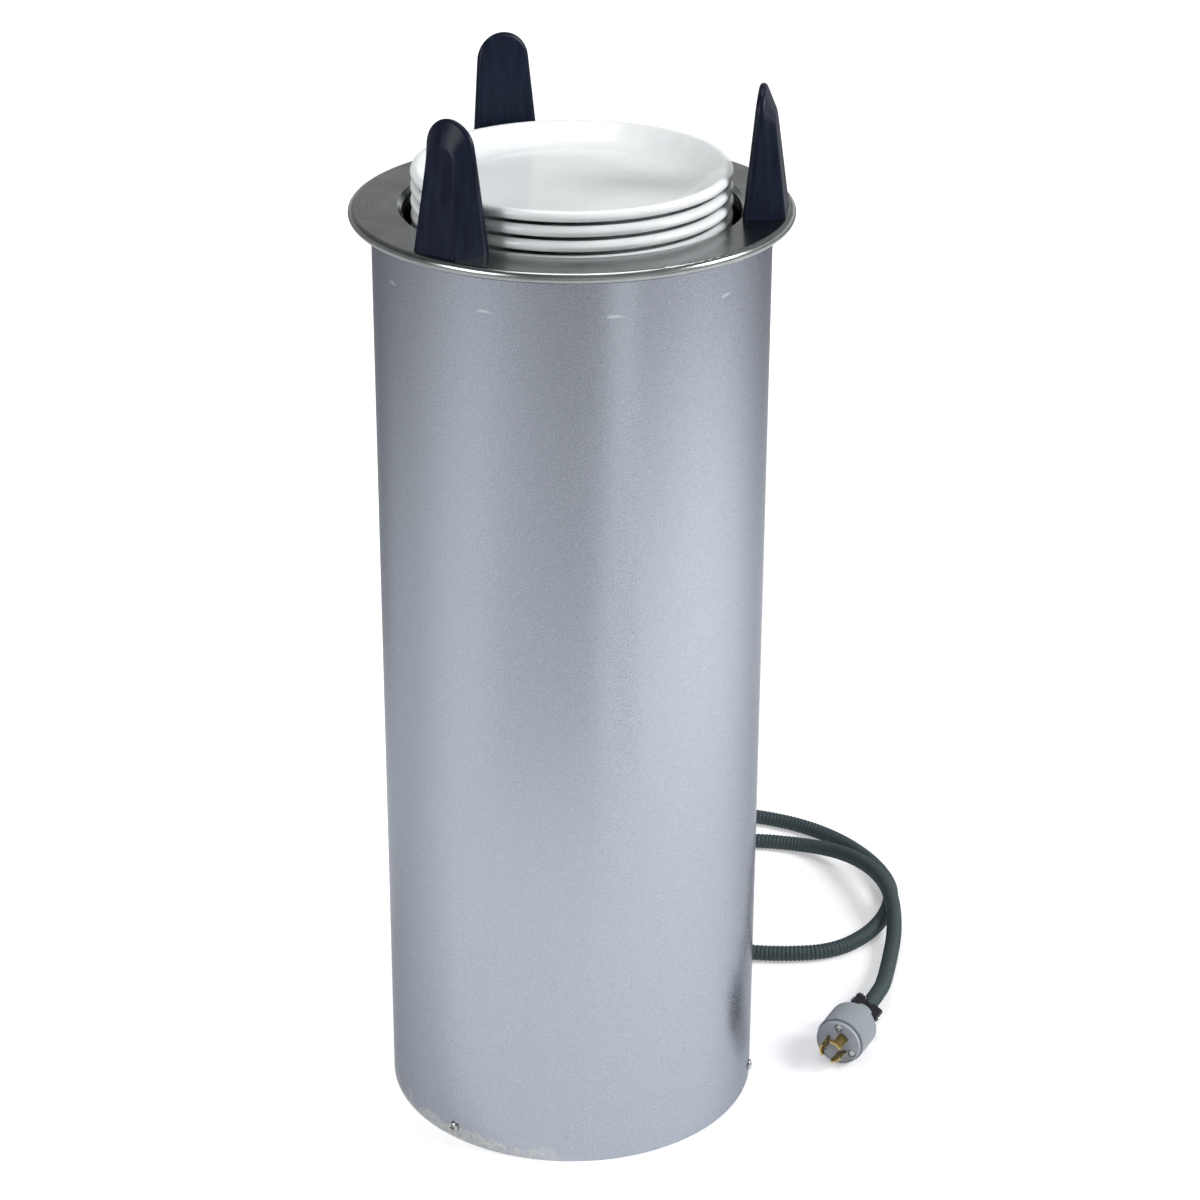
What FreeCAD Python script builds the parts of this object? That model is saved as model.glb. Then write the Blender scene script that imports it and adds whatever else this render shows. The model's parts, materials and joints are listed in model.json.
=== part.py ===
# Heated self-levelling plate dispenser: a drop-in tube whose sprung carriage keeps plates at counter height.
# Millimetres, +Z up, origin on the floor at the centre of the shell's lower edge.
import FreeCAD, Part
import math
import os

os.makedirs("parts", exist_ok=True)

Vector = FreeCAD.Vector
ORIGIN = Vector(0, 0, 0)
UP = Vector(0, 0, 1)
OUTWARD = Vector(1, 0, 0)
full_turn = 360.0
hexagon_sides = 6

# Clearances and overruns that every piece shares
cut_overrun = 5.0
slip_gap = 0.1
rest_gap = 0.3
slide_gap = 0.25
hole_gap = 0.15

# Plates
plate_diameter = 229.0
plate_height = 23.0
plate_pitch = 10.5
plate_rim_thickness = 7.8
plate_foot_width = 6.0
plate_foot_drop = 3.5
plate_foot_share = 0.57
plate_well_share = 0.70
plate_curve_share = 0.9
stack_count = 4
plate_stand = 28.5

# Shell, flange and collar
plate_room = 6.5
channel_width = 22.0
flange_overhang = 16.0
flange_height = 718.0
shell_wall = 1.2
flange_sheet = 1.5
rim_roll_radius = 4.0
rim_seat_share = 0.9
rim_tuck_share = 0.8
hole_lip_depth = 12.0
hole_lip_bend = 3.0
collar_sheet = 1.4
collar_depth = 40.0

# Guide posts: three sections from the face beside the plates to the outer face
post_count = 3
post_first_angle = -150.0
post_setback = 2.0
post_inner_half_width = 24.4
post_inner_arch = 18.5
post_inner_height = 90.0
post_inner_lean = 8.0
post_edge_depth = 5.0
post_edge_half_width = 26.4
post_edge_arch = 20.5
post_edge_height = 91.9
post_edge_lean = 7.4
post_depth = 30.0
post_outer_half_width = 18.0
post_outer_arch = 12.5
post_outer_height = 74.0
post_outer_lean = -10.0
post_screw_radius = 2.5
post_screw_depth = 14.0
post_screw_spread = 24.0
post_screw_setback = 8.5
post_screw_head_radius = 4.6
post_screw_head_height = 3.4

# Base pan and its screws
pan_sheet = 1.2
pan_height = 21.0
pan_lift = 2.5
base_screw_first_angle = -152.0
base_screw_height = 9.5
base_screw_radius = 2.4
base_screw_head_radius = 4.4
base_screw_head_height = 2.4
base_screw_head_crown = 1.2
base_screw_length = 9.0

# Heat shield, heater, thermostat and terminals
shield_gap = 7.0
shield_sheet = 1.2
shield_height = 84.0
standoff_setback = 12.0
standoff_radius = 5.0
heater_setback = 38.0
heater_tube_radius = 4.0
heater_lift = 8.0
heater_gap_angle = 44.0
heater_leg_drop = 26.0
heater_bend_radius = 10.0
heater_hole_gap = 3.0
clip_width = 9.0
clip_sheet = 1.6
clip_reach = 9.0
thermostat_radius = 12.0
thermostat_height = 9.0
thermostat_circle = 46.0
thermostat_tab_length = 9.0
thermostat_tab_width = 5.0
thermostat_tab_sheet = 0.8
terminal_width = 46.0
terminal_depth = 22.0
terminal_height = 18.0
terminal_place = 84.0
terminal_groove = 5.0
terminal_pole_count = 3

# Strain relief
exit_height = 62.0
exit_angle = 90.0
gland_barrel_radius = 10.0
gland_barrel_inside = 14.0
gland_flange_radius = 14.5
gland_flange_thickness = 5.0
gland_nose_radius = 12.0
gland_tip_radius = 8.2
gland_nose_length = 27.0
gland_ring_count = 5
gland_ring_share = 0.55
gland_ring_depth = 1.2
locknut_radius = 15.0
locknut_thickness = 5.0

# Guide rods, brackets and lift springs in the channel beside the plates
channel_setback = 7.0
rod_count = 3
rod_first_angle = -90.0
rod_radius = 5.0
rod_screw_radius = 3.0
rod_screw_depth = 14.0
rod_screw_head_radius = 6.0
rod_screw_head_height = 4.0
bracket_drop = 38.0
bracket_sheet = 2.0
bracket_rise = 25.0
bracket_angle = 18.0
bracket_reach = 9.0
bumper_radius = 9.0
bumper_top = 112.0
spring_radius = 7.5
spring_wire = 2.0
spring_plug_radius = 4.2
spring_plug_length = 12.0
spring_stud_radius = 3.0
spring_stud_nut_radius = 6.0
spring_stud_nut_height = 5.0

# Carriage
platform_inset = 10.5
platform_sheet = 2.0
platform_rim = 12.0
platform_vent_count = 6
platform_vent_radius = 15.0
platform_vent_setback = 44.0
platform_centre_vent_radius = 24.0
leg_length = 190.0
leg_width = 28.0
leg_sheet = 3.0
leg_foot = 22.0
leg_setback = 12.0
spider_sheet = 3.0
spider_wall_gap = 2.3
spider_window_gap = 4.0
bush_wall = 3.0
bush_length = 40.0
bush_flange_reach = 3.0
bush_flange_thickness = 3.0
bolt_radius = 3.0
bolt_head_radius = 5.5
bolt_head_height = 4.0
bolt_tail = 6.0

# Power cord: its route from the strain relief to the plug, chosen by hand as it lies on the floor
cord_diameter = 13.4
cord_sides = 8
cord_bend_share = 0.45
cord_route = [
    (0, 175, 62), (0, 207, 62), (2, 241, 53), (8, 276, 34), (20, 311, 15), (44, 340, 6.7),
    (86, 359, 6.7), (134, 363, 6.7), (182, 355, 6.7), (229, 339, 6.7), (274, 319, 6.7), (313, 293, 6.7),
    (342, 260, 6.7), (360, 221, 6.7), (367, 176, 6.7), (361, 132, 6.7), (338, 97, 6.7), (305, 70, 6.7),
    (266, 57, 6.7), (225, 68, 6.7), (185, 90, 6.7), (145, 114, 6.7), (107, 140, 6.7), (79, 174, 6.7),
    (67, 213, 6.7), (78, 252, 6.7), (110, 281, 6.7), (152, 293, 6.7), (198, 289, 6.7), (243, 274, 6.7),
    (286, 257, 6.7), (319, 236, 6.7), (339, 204, 13), (347, 167, 20), (348, 130, 23), (340, 94, 23),
    (324, 58, 13), (302, 26, 6.7), (282, -4, 12), (262.5, -32.5, 20.1), (238.5, -52.5, 20.1),
]

# Plug
plug_radius = 19.6
plug_rib_height = 0.5
plug_rib_count = 32
plug_rib_width = 1.8
plug_tail_length = 11.0
plug_neck_radius = 12.5
plug_neck_length = 17.5
plug_barrel_length = 26.0
plug_shoulder = 2.5
plug_groove_width = 1.5
plug_groove_depth = 2.4
plug_face_radius = 18.6
plug_face_length = 3.0
plug_face_chamfer = 0.6
plug_face_rim = 1.4
plug_face_recess = 0.7
plug_blade_circle = 9.6
plug_blade_thickness = 1.5
plug_blade_length = 15.0
plug_blade_span = 52.0
plug_hook_span = 16.0
plug_hook_length = 4.0
plug_blade_count = 3
plug_screw_circle = 13.6
plug_screw_radius = 2.4
plug_screw_height = 1.2
plug_screw_count = 3
plug_screw_first_angle = 60.0
clamp_half_width = 11.8
clamp_split = 2.6
clamp_rise = 8.6
clamp_drop = 2.0
clamp_chamfer = 1.6
clamp_gap = 0.4

# Worked out from the driving sizes
plate_radius = plate_diameter / 2
plate_well_height = plate_pitch - rest_gap
hole_radius = plate_radius + plate_room
shell_radius = hole_radius + channel_width
shell_inner_radius = shell_radius - shell_wall
flange_radius = shell_radius + flange_overhang
flange_underside = flange_height - flange_sheet
collar_radius = shell_inner_radius - slip_gap
collar_inner_radius = collar_radius - collar_sheet
channel_radius = hole_radius + channel_setback
post_base_radius = hole_radius + post_setback
post_screw_place = post_base_radius + post_screw_setback
pan_radius = shell_inner_radius - slip_gap
shield_radius = channel_radius - bumper_radius - shield_gap
shield_top = shield_height + shield_sheet
standoff_circle = shield_radius - standoff_setback
heater_loop_radius = shield_radius - heater_setback
bracket_top = flange_height - bracket_drop
bracket_underside = bracket_top - bracket_sheet
top_plate_foot = flange_height + plate_stand - plate_height
stack_foot = top_plate_foot - stack_count * plate_pitch
platform_top = stack_foot - rest_gap
platform_radius = plate_radius - platform_inset
platform_vent_circle = platform_radius - platform_vent_setback
leg_circle = platform_radius - leg_setback
leg_top = platform_top - platform_sheet
spider_top = leg_top - leg_length
spider_underside = spider_top - spider_sheet
spider_radius = shell_inner_radius - spider_wall_gap
spider_window_radius = leg_circle - leg_foot - spider_window_gap
spring_angle = rod_first_angle + full_turn / rod_count / 2
cord_radius = cord_diameter / 2
plug_start = Vector(*cord_route[-1])
plug_approach = plug_start - Vector(*cord_route[-2])
plug_heading = math.degrees(math.atan2(plug_approach.y, plug_approach.x))
plug_barrel_start = plug_tail_length + plug_neck_length
plug_barrel_end = plug_barrel_start + plug_barrel_length
plug_face_start = plug_barrel_end + plug_groove_width
plug_face_end = plug_face_start + plug_face_length
plug_face_floor = plug_face_end - plug_face_recess


def export(name, shape):
    """Write one node, and say how large it is."""
    shape.exportStep("parts/" + name + ".step")
    print(name, "solids", len(shape.Solids), "volume", round(shape.Volume))


def outline(start, *steps):
    """A closed face in the radius and height plane; a step of two values is a line, of four an arc."""
    edges = []
    here = Vector(start[0], 0, start[1])
    first = here
    for step in steps:
        there = Vector(step[-2], 0, step[-1])
        if len(step) == 2:
            edges.append(Part.LineSegment(here, there).toShape())
        else:
            edges.append(Part.Arc(here, Vector(step[0], 0, step[1]), there).toShape())
        here = there
    edges.append(Part.LineSegment(here, first).toShape())
    return Part.Face(Part.Wire(edges))


def turned(start, *steps):
    """A solid of revolution about the vertical axis."""
    return outline(start, *steps).revolve(ORIGIN, UP, full_turn)


def rod(radius, low, high, x=0.0, y=0.0):
    """An upright cylinder between two heights."""
    return Part.makeCylinder(radius, high - low, Vector(x, y, low))


def block(low, high):
    """A box between two corners."""
    size = high - low
    return Part.makeBox(size.x, size.y, size.z, low)


def hexagon(radius, low, high, x=0.0, y=0.0):
    """An upright hexagonal prism, as on a screw head."""
    corners = [polar(radius, side * full_turn / hexagon_sides, low) for side in range(hexagon_sides)]
    wire = Part.makePolygon(corners + corners[:1])
    prism = Part.Face(wire).extrude(UP * (high - low))
    prism.translate(Vector(x, y, 0))
    return prism


def polar(radius, angle, height=0.0):
    """A point on a circle about the vertical axis."""
    turn = math.radians(angle)
    return Vector(radius * math.cos(turn), radius * math.sin(turn), height)


def turned_to(shape, angle):
    """A copy turned about the vertical axis."""
    copy = shape.copy()
    copy.rotate(ORIGIN, UP, angle)
    return copy


def around(shape, count, first_angle):
    """Copies of a piece spread evenly about the vertical axis."""
    return [turned_to(shape, first_angle + i * full_turn / count) for i in range(count)]


def group(shapes):
    """Equal pieces that share one node."""
    return Part.makeCompound(shapes)


def make_shell():
    """The rolled tube, with its screw holes near the floor and the hole for the strain relief."""
    tube = rod(shell_radius, 0, flange_underside)
    tube = tube.cut(rod(shell_inner_radius, -cut_overrun, flange_underside + cut_overrun))
    reach = shell_wall + cut_overrun * 2
    start = Vector(shell_inner_radius - cut_overrun, 0, base_screw_height)
    screw_hole = Part.makeCylinder(base_screw_radius + hole_gap, reach, start, OUTWARD)
    start = Vector(shell_inner_radius - cut_overrun, 0, exit_height)
    exit_hole = Part.makeCylinder(gland_barrel_radius + hole_gap, reach, start, OUTWARD)
    holes = around(screw_hole, post_count, base_screw_first_angle)
    return tube.cut(holes + [turned_to(exit_hole, exit_angle)])


def make_flange():
    """The spun top flange: plate hole turned down, outer edge rolled with a flat seat beneath."""
    roll_centre = flange_radius - rim_roll_radius
    roll_height = flange_height - rim_roll_radius
    seat = roll_height - rim_roll_radius * rim_seat_share
    seat_half = rim_roll_radius * math.sqrt(1 - rim_seat_share ** 2)
    lip_foot = flange_height - hole_lip_depth
    lip_back = hole_radius + flange_sheet
    ring = turned(
        (hole_radius, lip_foot),
        (hole_radius, flange_height - hole_lip_bend),
        (hole_radius + hole_lip_bend, flange_height),
        (roll_centre, flange_height),
        (flange_radius, roll_height, roll_centre + seat_half, seat),
        (roll_centre - seat_half, seat),
        (roll_centre - rim_roll_radius * rim_tuck_share, flange_underside),
        (lip_back + hole_lip_bend, flange_underside),
        (lip_back, flange_underside - hole_lip_bend),
        (lip_back, lip_foot),
    )
    hole = rod(
        post_screw_radius + hole_gap,
        flange_underside - cut_overrun,
        flange_height + cut_overrun,
        post_screw_place,
        post_screw_spread / 2,
    )
    pair = [hole, hole.mirror(ORIGIN, Vector(0, 1, 0))]
    holes = [h for one in pair for h in around(one, post_count, post_first_angle)]
    return ring.cut(holes)


def make_collar():
    """The band that is welded under the flange and spot-welded inside the shell."""
    low = flange_underside - collar_depth
    band = rod(collar_radius, low, flange_underside)
    return band.cut(rod(collar_inner_radius, low - cut_overrun, flange_underside + cut_overrun))


def post_section(base_radius, half_width, arch, height, lean):
    """One arched outline of a guide post, in a plane that leans outward by the given amount."""
    slant = math.hypot(height, lean)
    centre = slant - arch
    reach = math.hypot(half_width, centre)
    heading = math.atan2(centre, -half_width) - math.asin(arch / reach)
    side = math.sqrt(reach ** 2 - arch ** 2)
    touch_across = half_width + side * math.cos(heading)
    touch_along = side * math.sin(heading)

    def place(across, along):
        share = along / slant
        return Vector(base_radius + lean * share, across, flange_height + height * share)

    left = place(-half_width, 0)
    right = place(half_width, 0)
    touch_right = place(touch_across, touch_along)
    touch_left = place(-touch_across, touch_along)
    return Part.Wire([
        Part.LineSegment(left, right).toShape(),
        Part.LineSegment(right, touch_right).toShape(),
        Part.Arc(touch_right, place(0, slant), touch_left).toShape(),
        Part.LineSegment(touch_left, left).toShape(),
    ])


def make_post():
    """A moulded guide post: a leaning blade beside the plates that tapers back to a narrow outer face."""
    inner = post_section(
        post_base_radius, post_inner_half_width, post_inner_arch, post_inner_height, post_inner_lean)
    edge = post_section(
        post_base_radius + post_edge_depth, post_edge_half_width, post_edge_arch, post_edge_height,
        post_edge_lean)
    outer = post_section(
        post_base_radius + post_depth, post_outer_half_width, post_outer_arch, post_outer_height,
        post_outer_lean)
    body = Part.makeLoft([inner, edge, outer], True, True)
    hole = rod(
        post_screw_radius + hole_gap,
        flange_height - cut_overrun,
        flange_height + post_screw_depth + hole_gap,
        post_screw_place,
        post_screw_spread / 2,
    )
    return body.cut([hole, hole.mirror(ORIGIN, Vector(0, 1, 0))])


def make_post_screws():
    """Hexagon screws that hold the posts from under the flange, two to a post."""
    across = post_screw_spread / 2
    head_low = flange_underside - post_screw_head_height
    head = hexagon(post_screw_head_radius, head_low, flange_underside, post_screw_place, across)
    shank = rod(post_screw_radius, flange_underside, flange_height + post_screw_depth,
                post_screw_place, across)
    screw = head.fuse(shank)
    pair = [screw, screw.mirror(ORIGIN, Vector(0, 1, 0))]
    return group([s for one in pair for s in around(one, post_count, post_first_angle)])


def make_base_pan():
    """The pressed pan that closes the foot of the shell, its skirt turned down behind the screws."""
    top = pan_height + pan_sheet
    pan = turned(
        (0, pan_height),
        (0, top),
        (pan_radius, top),
        (pan_radius, pan_lift),
        (pan_radius - pan_sheet, pan_lift),
        (pan_radius - pan_sheet, pan_height),
    )
    start = Vector(pan_radius - cut_overrun, 0, base_screw_height)
    screw_hole = Part.makeCylinder(base_screw_radius + hole_gap, cut_overrun * 2, start, OUTWARD)
    rod_hole = rod(
        rod_screw_radius + hole_gap, pan_height - cut_overrun, top + cut_overrun, channel_radius)
    holes = around(screw_hole, post_count, base_screw_first_angle)
    return pan.cut(holes + around(rod_hole, rod_count, rod_first_angle))


def make_base_screws():
    """Round-headed screws through the shell into the pan's skirt."""
    side = base_screw_head_height - base_screw_head_crown
    tip = base_screw_head_radius - base_screw_head_crown
    screw = turned(
        (0, -base_screw_length),
        (base_screw_radius, -base_screw_length),
        (base_screw_radius, 0),
        (base_screw_head_radius, 0),
        (base_screw_head_radius, side),
        (tip, base_screw_head_height),
        (0, base_screw_head_height),
    )
    screw.rotate(ORIGIN, Vector(0, 1, 0), full_turn / 4)
    screw.translate(Vector(shell_radius, 0, base_screw_height))
    return group(around(screw, post_count, base_screw_first_angle))


def heater_end(side):
    """Where one end of the heater's loop stops, and which way it runs on into the loop's gap."""
    angle = exit_angle + side * heater_gap_angle / 2
    return polar(heater_loop_radius, angle), polar(side, angle - full_turn / 4)


def make_shield():
    """The reflector disc over the wiring space, with holes for the heater's two legs."""
    disc = rod(shield_radius, shield_height, shield_top)
    holes = []
    for side in (-1, 1):
        stop, onward = heater_end(side)
        spot = stop + onward * heater_bend_radius
        holes.append(rod(heater_tube_radius + heater_hole_gap, shield_height - cut_overrun,
                         shield_top + cut_overrun, spot.x, spot.y))
    return disc.cut(holes)


def make_standoffs():
    """Three pillars that carry the shield on the pan."""
    pillar = rod(standoff_radius, pan_height + pan_sheet, shield_height, standoff_circle)
    return group(around(pillar, rod_count, rod_first_angle))


def make_heater():
    """One tubular element: an open loop above the shield with both ends bent down through it."""
    level = shield_top + heater_lift + heater_tube_radius
    foot = shield_height - heater_leg_drop
    ring = Part.makeCircle(heater_tube_radius, Vector(heater_loop_radius, 0, level), Vector(0, 1, 0))
    section = Part.Face(Part.Wire(ring))
    loop = section.revolve(ORIGIN, UP, full_turn - heater_gap_angle)
    pieces = []
    for side in (-1, 1):
        stop, onward = heater_end(side)
        pivot = stop + Vector(0, 0, level - heater_bend_radius)
        end_section = turned_to(section, exit_angle + side * heater_gap_angle / 2)
        pieces.append(end_section.revolve(pivot, UP.cross(onward), full_turn / 4))
        spot = stop + onward * heater_bend_radius
        pieces.append(rod(heater_tube_radius, foot, level - heater_bend_radius, spot.x, spot.y))
    return turned_to(loop, exit_angle + heater_gap_angle / 2).fuse(pieces).removeSplitter()


def make_heater_clips():
    """Angle clips on the shield that the heater loop lies on."""
    seat = shield_top + heater_lift
    half = clip_width / 2
    inner = heater_loop_radius - clip_reach
    outer = heater_loop_radius + clip_reach
    foot = block(Vector(inner, -half, shield_top), Vector(outer, half, shield_top + clip_sheet))
    wall = block(
        Vector(heater_loop_radius - clip_sheet / 2, -half, shield_top),
        Vector(heater_loop_radius + clip_sheet / 2, half, seat - slip_gap),
    )
    return group(around(foot.fuse(wall), rod_count, rod_first_angle))


def make_thermostat():
    """A snap-disc thermostat that hangs under the shield, with two tabs for its leads."""
    low = shield_height - thermostat_height
    body = rod(thermostat_radius, low, shield_height, thermostat_circle)
    tabs = []
    for side in (-1, 1):
        across = side * thermostat_radius / 2
        corner = Vector(
            thermostat_circle - thermostat_tab_width / 2,
            across - thermostat_tab_sheet / 2,
            low - thermostat_tab_length,
        )
        tabs.append(block(corner, corner + Vector(
            thermostat_tab_width, thermostat_tab_sheet, thermostat_tab_length)))
    return turned_to(body.fuse(tabs), exit_angle + full_turn / 4)


def make_terminal_block():
    """The insulated block on the pan where the cord's three cores are clamped."""
    floor = pan_height + pan_sheet
    corner = Vector(-terminal_width / 2, terminal_place - terminal_depth / 2, floor)
    body = block(corner, corner + Vector(terminal_width, terminal_depth, terminal_height))
    pole = terminal_width / terminal_pole_count
    width = pole - terminal_groove / 2
    grooves = []
    for i in range(terminal_pole_count):
        centre = -terminal_width / 2 + pole * (i + 1 / 2)
        low = Vector(centre - width / 2, terminal_place - terminal_groove / 2,
                     floor + terminal_height - terminal_groove)
        high = Vector(centre + width / 2, terminal_place + terminal_groove / 2,
                      floor + terminal_height + cut_overrun)
        grooves.append(block(low, high))
    return body.cut(grooves)


def make_strain_relief():
    """The gland in the shell's wall: a barrel inside, a flange outside and a ringed, tapered nose."""
    flange_end = gland_flange_thickness
    nose_end = flange_end + gland_nose_length
    inside = -shell_wall - gland_barrel_inside
    pitch = gland_nose_length / gland_ring_count
    taper = (gland_nose_radius - gland_tip_radius) / gland_nose_length
    rings = []
    for ring in range(gland_ring_count):
        low = flange_end + ring * pitch
        high = low + pitch * gland_ring_share
        radius = gland_nose_radius - taper * (low - flange_end)
        narrow = gland_nose_radius - taper * (high - flange_end)
        groove = narrow - gland_ring_depth
        rings += [(radius, low), (narrow, high), (groove, high), (groove, low + pitch)]
    gland = turned(
        (0, inside),
        (gland_barrel_radius, inside),
        (gland_barrel_radius, 0),
        (gland_flange_radius, 0),
        (gland_flange_radius, flange_end),
        *rings,
        (0, nose_end),
    )
    gland.rotate(ORIGIN, Vector(0, 1, 0), full_turn / 4)
    gland.translate(Vector(shell_radius, 0, exit_height))
    gland = turned_to(gland, exit_angle)
    wall = rod(shell_radius, exit_height - gland_flange_radius - cut_overrun,
               exit_height + gland_flange_radius + cut_overrun)
    barrel = Part.makeCylinder(
        gland_barrel_radius, gland_barrel_inside + shell_wall + cut_overrun,
        Vector(shell_radius - gland_barrel_inside - shell_wall, 0, exit_height), OUTWARD)
    return gland.cut(wall).fuse(turned_to(barrel, exit_angle)).removeSplitter()


def make_locknut():
    """The nut that holds the strain relief from inside the shell."""
    near = math.sqrt(shell_inner_radius ** 2 - locknut_radius ** 2) - slip_gap
    nut = hexagon(locknut_radius, 0, locknut_thickness)
    nut = nut.cut(rod(gland_barrel_radius + slip_gap, -cut_overrun, locknut_thickness + cut_overrun))
    nut.rotate(ORIGIN, Vector(0, 1, 0), -full_turn / 4)
    nut.translate(Vector(near, 0, exit_height))
    return turned_to(nut, exit_angle)


def make_rod():
    """A guide rod from the pan to its bracket, tapped at both ends."""
    low = pan_height + pan_sheet
    bar = rod(rod_radius, low, bracket_underside, channel_radius)
    bore = rod_screw_radius + slip_gap
    depth = rod_screw_depth + slip_gap
    lower = rod(bore, low - cut_overrun, low + depth, channel_radius)
    upper = rod(bore, bracket_underside - depth, bracket_underside + cut_overrun, channel_radius)
    return bar.cut([lower, upper])


def make_rod_screws():
    """Hexagon screws into both ends of each rod."""
    pan_top = pan_height + pan_sheet
    lower = hexagon(
        rod_screw_head_radius, pan_height - rod_screw_head_height, pan_height, channel_radius)
    lower = lower.fuse(rod(rod_screw_radius, pan_height, pan_top + rod_screw_depth, channel_radius))
    upper = hexagon(
        rod_screw_head_radius, bracket_top, bracket_top + rod_screw_head_height, channel_radius)
    upper = upper.fuse(
        rod(rod_screw_radius, bracket_underside - rod_screw_depth, bracket_top, channel_radius))
    return group(around(lower, rod_count, rod_first_angle) + around(upper, rod_count, rod_first_angle))


def make_bracket(hole_radius_in_bracket):
    """A short angle bracket on the collar, with one hole in its shelf."""
    wall = collar_inner_radius - slip_gap
    inner = channel_radius - bracket_reach
    face = outline(
        (inner, bracket_underside),
        (wall, bracket_underside),
        (wall, bracket_top + bracket_rise),
        (wall - bracket_sheet, bracket_top + bracket_rise),
        (wall - bracket_sheet, bracket_top),
        (inner, bracket_top),
    )
    angle_bar = face.revolve(ORIGIN, UP, bracket_angle)
    angle_bar.rotate(ORIGIN, UP, -bracket_angle / 2)
    hole = rod(hole_radius_in_bracket, bracket_underside - cut_overrun,
               bracket_top + cut_overrun, channel_radius)
    return angle_bar.cut(hole)


def make_bumpers():
    """Rubber sleeves at the foot of the rods that stop the loaded carriage."""
    low = pan_height + pan_sheet
    sleeve = rod(bumper_radius, low, bumper_top, channel_radius)
    sleeve = sleeve.cut(
        rod(rod_radius + slip_gap, low - cut_overrun, bumper_top + cut_overrun, channel_radius))
    return group(around(sleeve, rod_count, rod_first_angle))


def make_spring():
    """A lift spring as the sleeve that its coils fill, between its bracket and the spider."""
    low = spider_top + rest_gap
    high = bracket_underside - rest_gap
    sleeve = rod(spring_radius, low, high, channel_radius)
    return sleeve.cut(
        rod(spring_radius - spring_wire, low - cut_overrun, high + cut_overrun, channel_radius))


def make_spring_plug(seat, shelf, way):
    """A plug in the end of a spring, with a stud through the shelf and a nut beyond it."""
    plug_end = seat + way * spring_plug_length
    nut_end = shelf - way * spring_stud_nut_height
    plug = rod(spring_plug_radius, min(seat, plug_end), max(seat, plug_end), channel_radius)
    stud = rod(spring_stud_radius, min(seat, shelf), max(seat, shelf), channel_radius)
    nut = hexagon(spring_stud_nut_radius, min(shelf, nut_end), max(shelf, nut_end), channel_radius)
    return plug.fuse([stud, nut])


def make_platform():
    """The round table under the plates, rim turned down, with holes for the warm air."""
    rim_low = platform_top - platform_rim
    table = turned(
        (0, leg_top),
        (0, platform_top),
        (platform_radius, platform_top),
        (platform_radius, rim_low),
        (platform_radius - platform_sheet, rim_low),
        (platform_radius - platform_sheet, leg_top),
    )
    low = leg_top - cut_overrun
    high = platform_top + cut_overrun
    vent = rod(platform_vent_radius, low, high, platform_vent_circle)
    vents = around(vent, platform_vent_count, rod_first_angle + full_turn / platform_vent_count / 2)
    bolt_hole = rod(bolt_radius + hole_gap, low, high, leg_circle - leg_foot / 2)
    holes = around(bolt_hole, rod_count, rod_first_angle)
    return table.cut(vents + holes + [rod(platform_centre_vent_radius, low, high)])


def make_legs():
    """Three channel-shaped straps that hang the spider under the platform."""
    face = outline(
        (leg_circle - leg_foot, leg_top),
        (leg_circle, leg_top),
        (leg_circle, spider_top),
        (leg_circle - leg_foot, spider_top),
        (leg_circle - leg_foot, spider_top + leg_sheet),
        (leg_circle - leg_sheet, spider_top + leg_sheet),
        (leg_circle - leg_sheet, leg_top - leg_sheet),
        (leg_circle - leg_foot, leg_top - leg_sheet),
    )
    strap = face.extrude(Vector(0, leg_width, 0))
    strap.translate(Vector(0, -leg_width / 2, 0))
    hole = rod(bolt_radius + hole_gap, spider_top - cut_overrun, leg_top + cut_overrun,
               leg_circle - leg_foot / 2)
    return group(around(strap.cut(hole), rod_count, rod_first_angle))


def make_spider():
    """The six-sided plate that carries the guide bushes and pulls on the springs."""
    corner = spider_radius / math.cos(math.pi / hexagon_sides)
    plate = turned_to(hexagon(corner, spider_underside, spider_top), spring_angle)
    plate = plate.common(rod(spider_radius, spider_underside, spider_top))
    low = spider_underside - cut_overrun
    high = spider_top + cut_overrun
    bush_hole = rod(rod_radius + slide_gap + bush_wall + slip_gap, low, high, channel_radius)
    stud_hole = rod(spring_stud_radius + slip_gap, low, high, channel_radius)
    bolt_hole = rod(bolt_radius + hole_gap, low, high, leg_circle - leg_foot / 2)
    holes = around(bush_hole, rod_count, rod_first_angle)
    holes += around(stud_hole, rod_count, spring_angle)
    holes += around(bolt_hole, rod_count, rod_first_angle)
    return plate.cut(holes + [rod(spider_window_radius, low, high)])


def make_bushes():
    """Flanged nylon bushes that slide on the rods."""
    bore = rod_radius + slide_gap
    outer = bore + bush_wall
    low = spider_top - bush_length
    bush = rod(outer, low, spider_top + bush_flange_thickness, channel_radius)
    bush = bush.fuse(rod(outer + bush_flange_reach, spider_top,
                         spider_top + bush_flange_thickness, channel_radius))
    bush = bush.cut(rod(bore, low - cut_overrun, spider_top + bush_flange_thickness + cut_overrun,
                        channel_radius))
    return group(around(bush, rod_count, rod_first_angle))


def make_bolts():
    """Bolts through the feet of the legs, heads inside the straps."""
    place = leg_circle - leg_foot / 2
    upper_seat = leg_top - leg_sheet
    upper = hexagon(bolt_head_radius, upper_seat - bolt_head_height, upper_seat, place)
    upper = upper.fuse(rod(bolt_radius, upper_seat, platform_top - rest_gap, place))
    lower_seat = spider_top + leg_sheet
    lower = hexagon(bolt_head_radius, lower_seat, lower_seat + bolt_head_height, place)
    lower = lower.fuse(rod(bolt_radius, spider_underside - bolt_tail, lower_seat, place))
    return group(around(lower, rod_count, rod_first_angle) + around(upper, rod_count, rod_first_angle))


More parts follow.
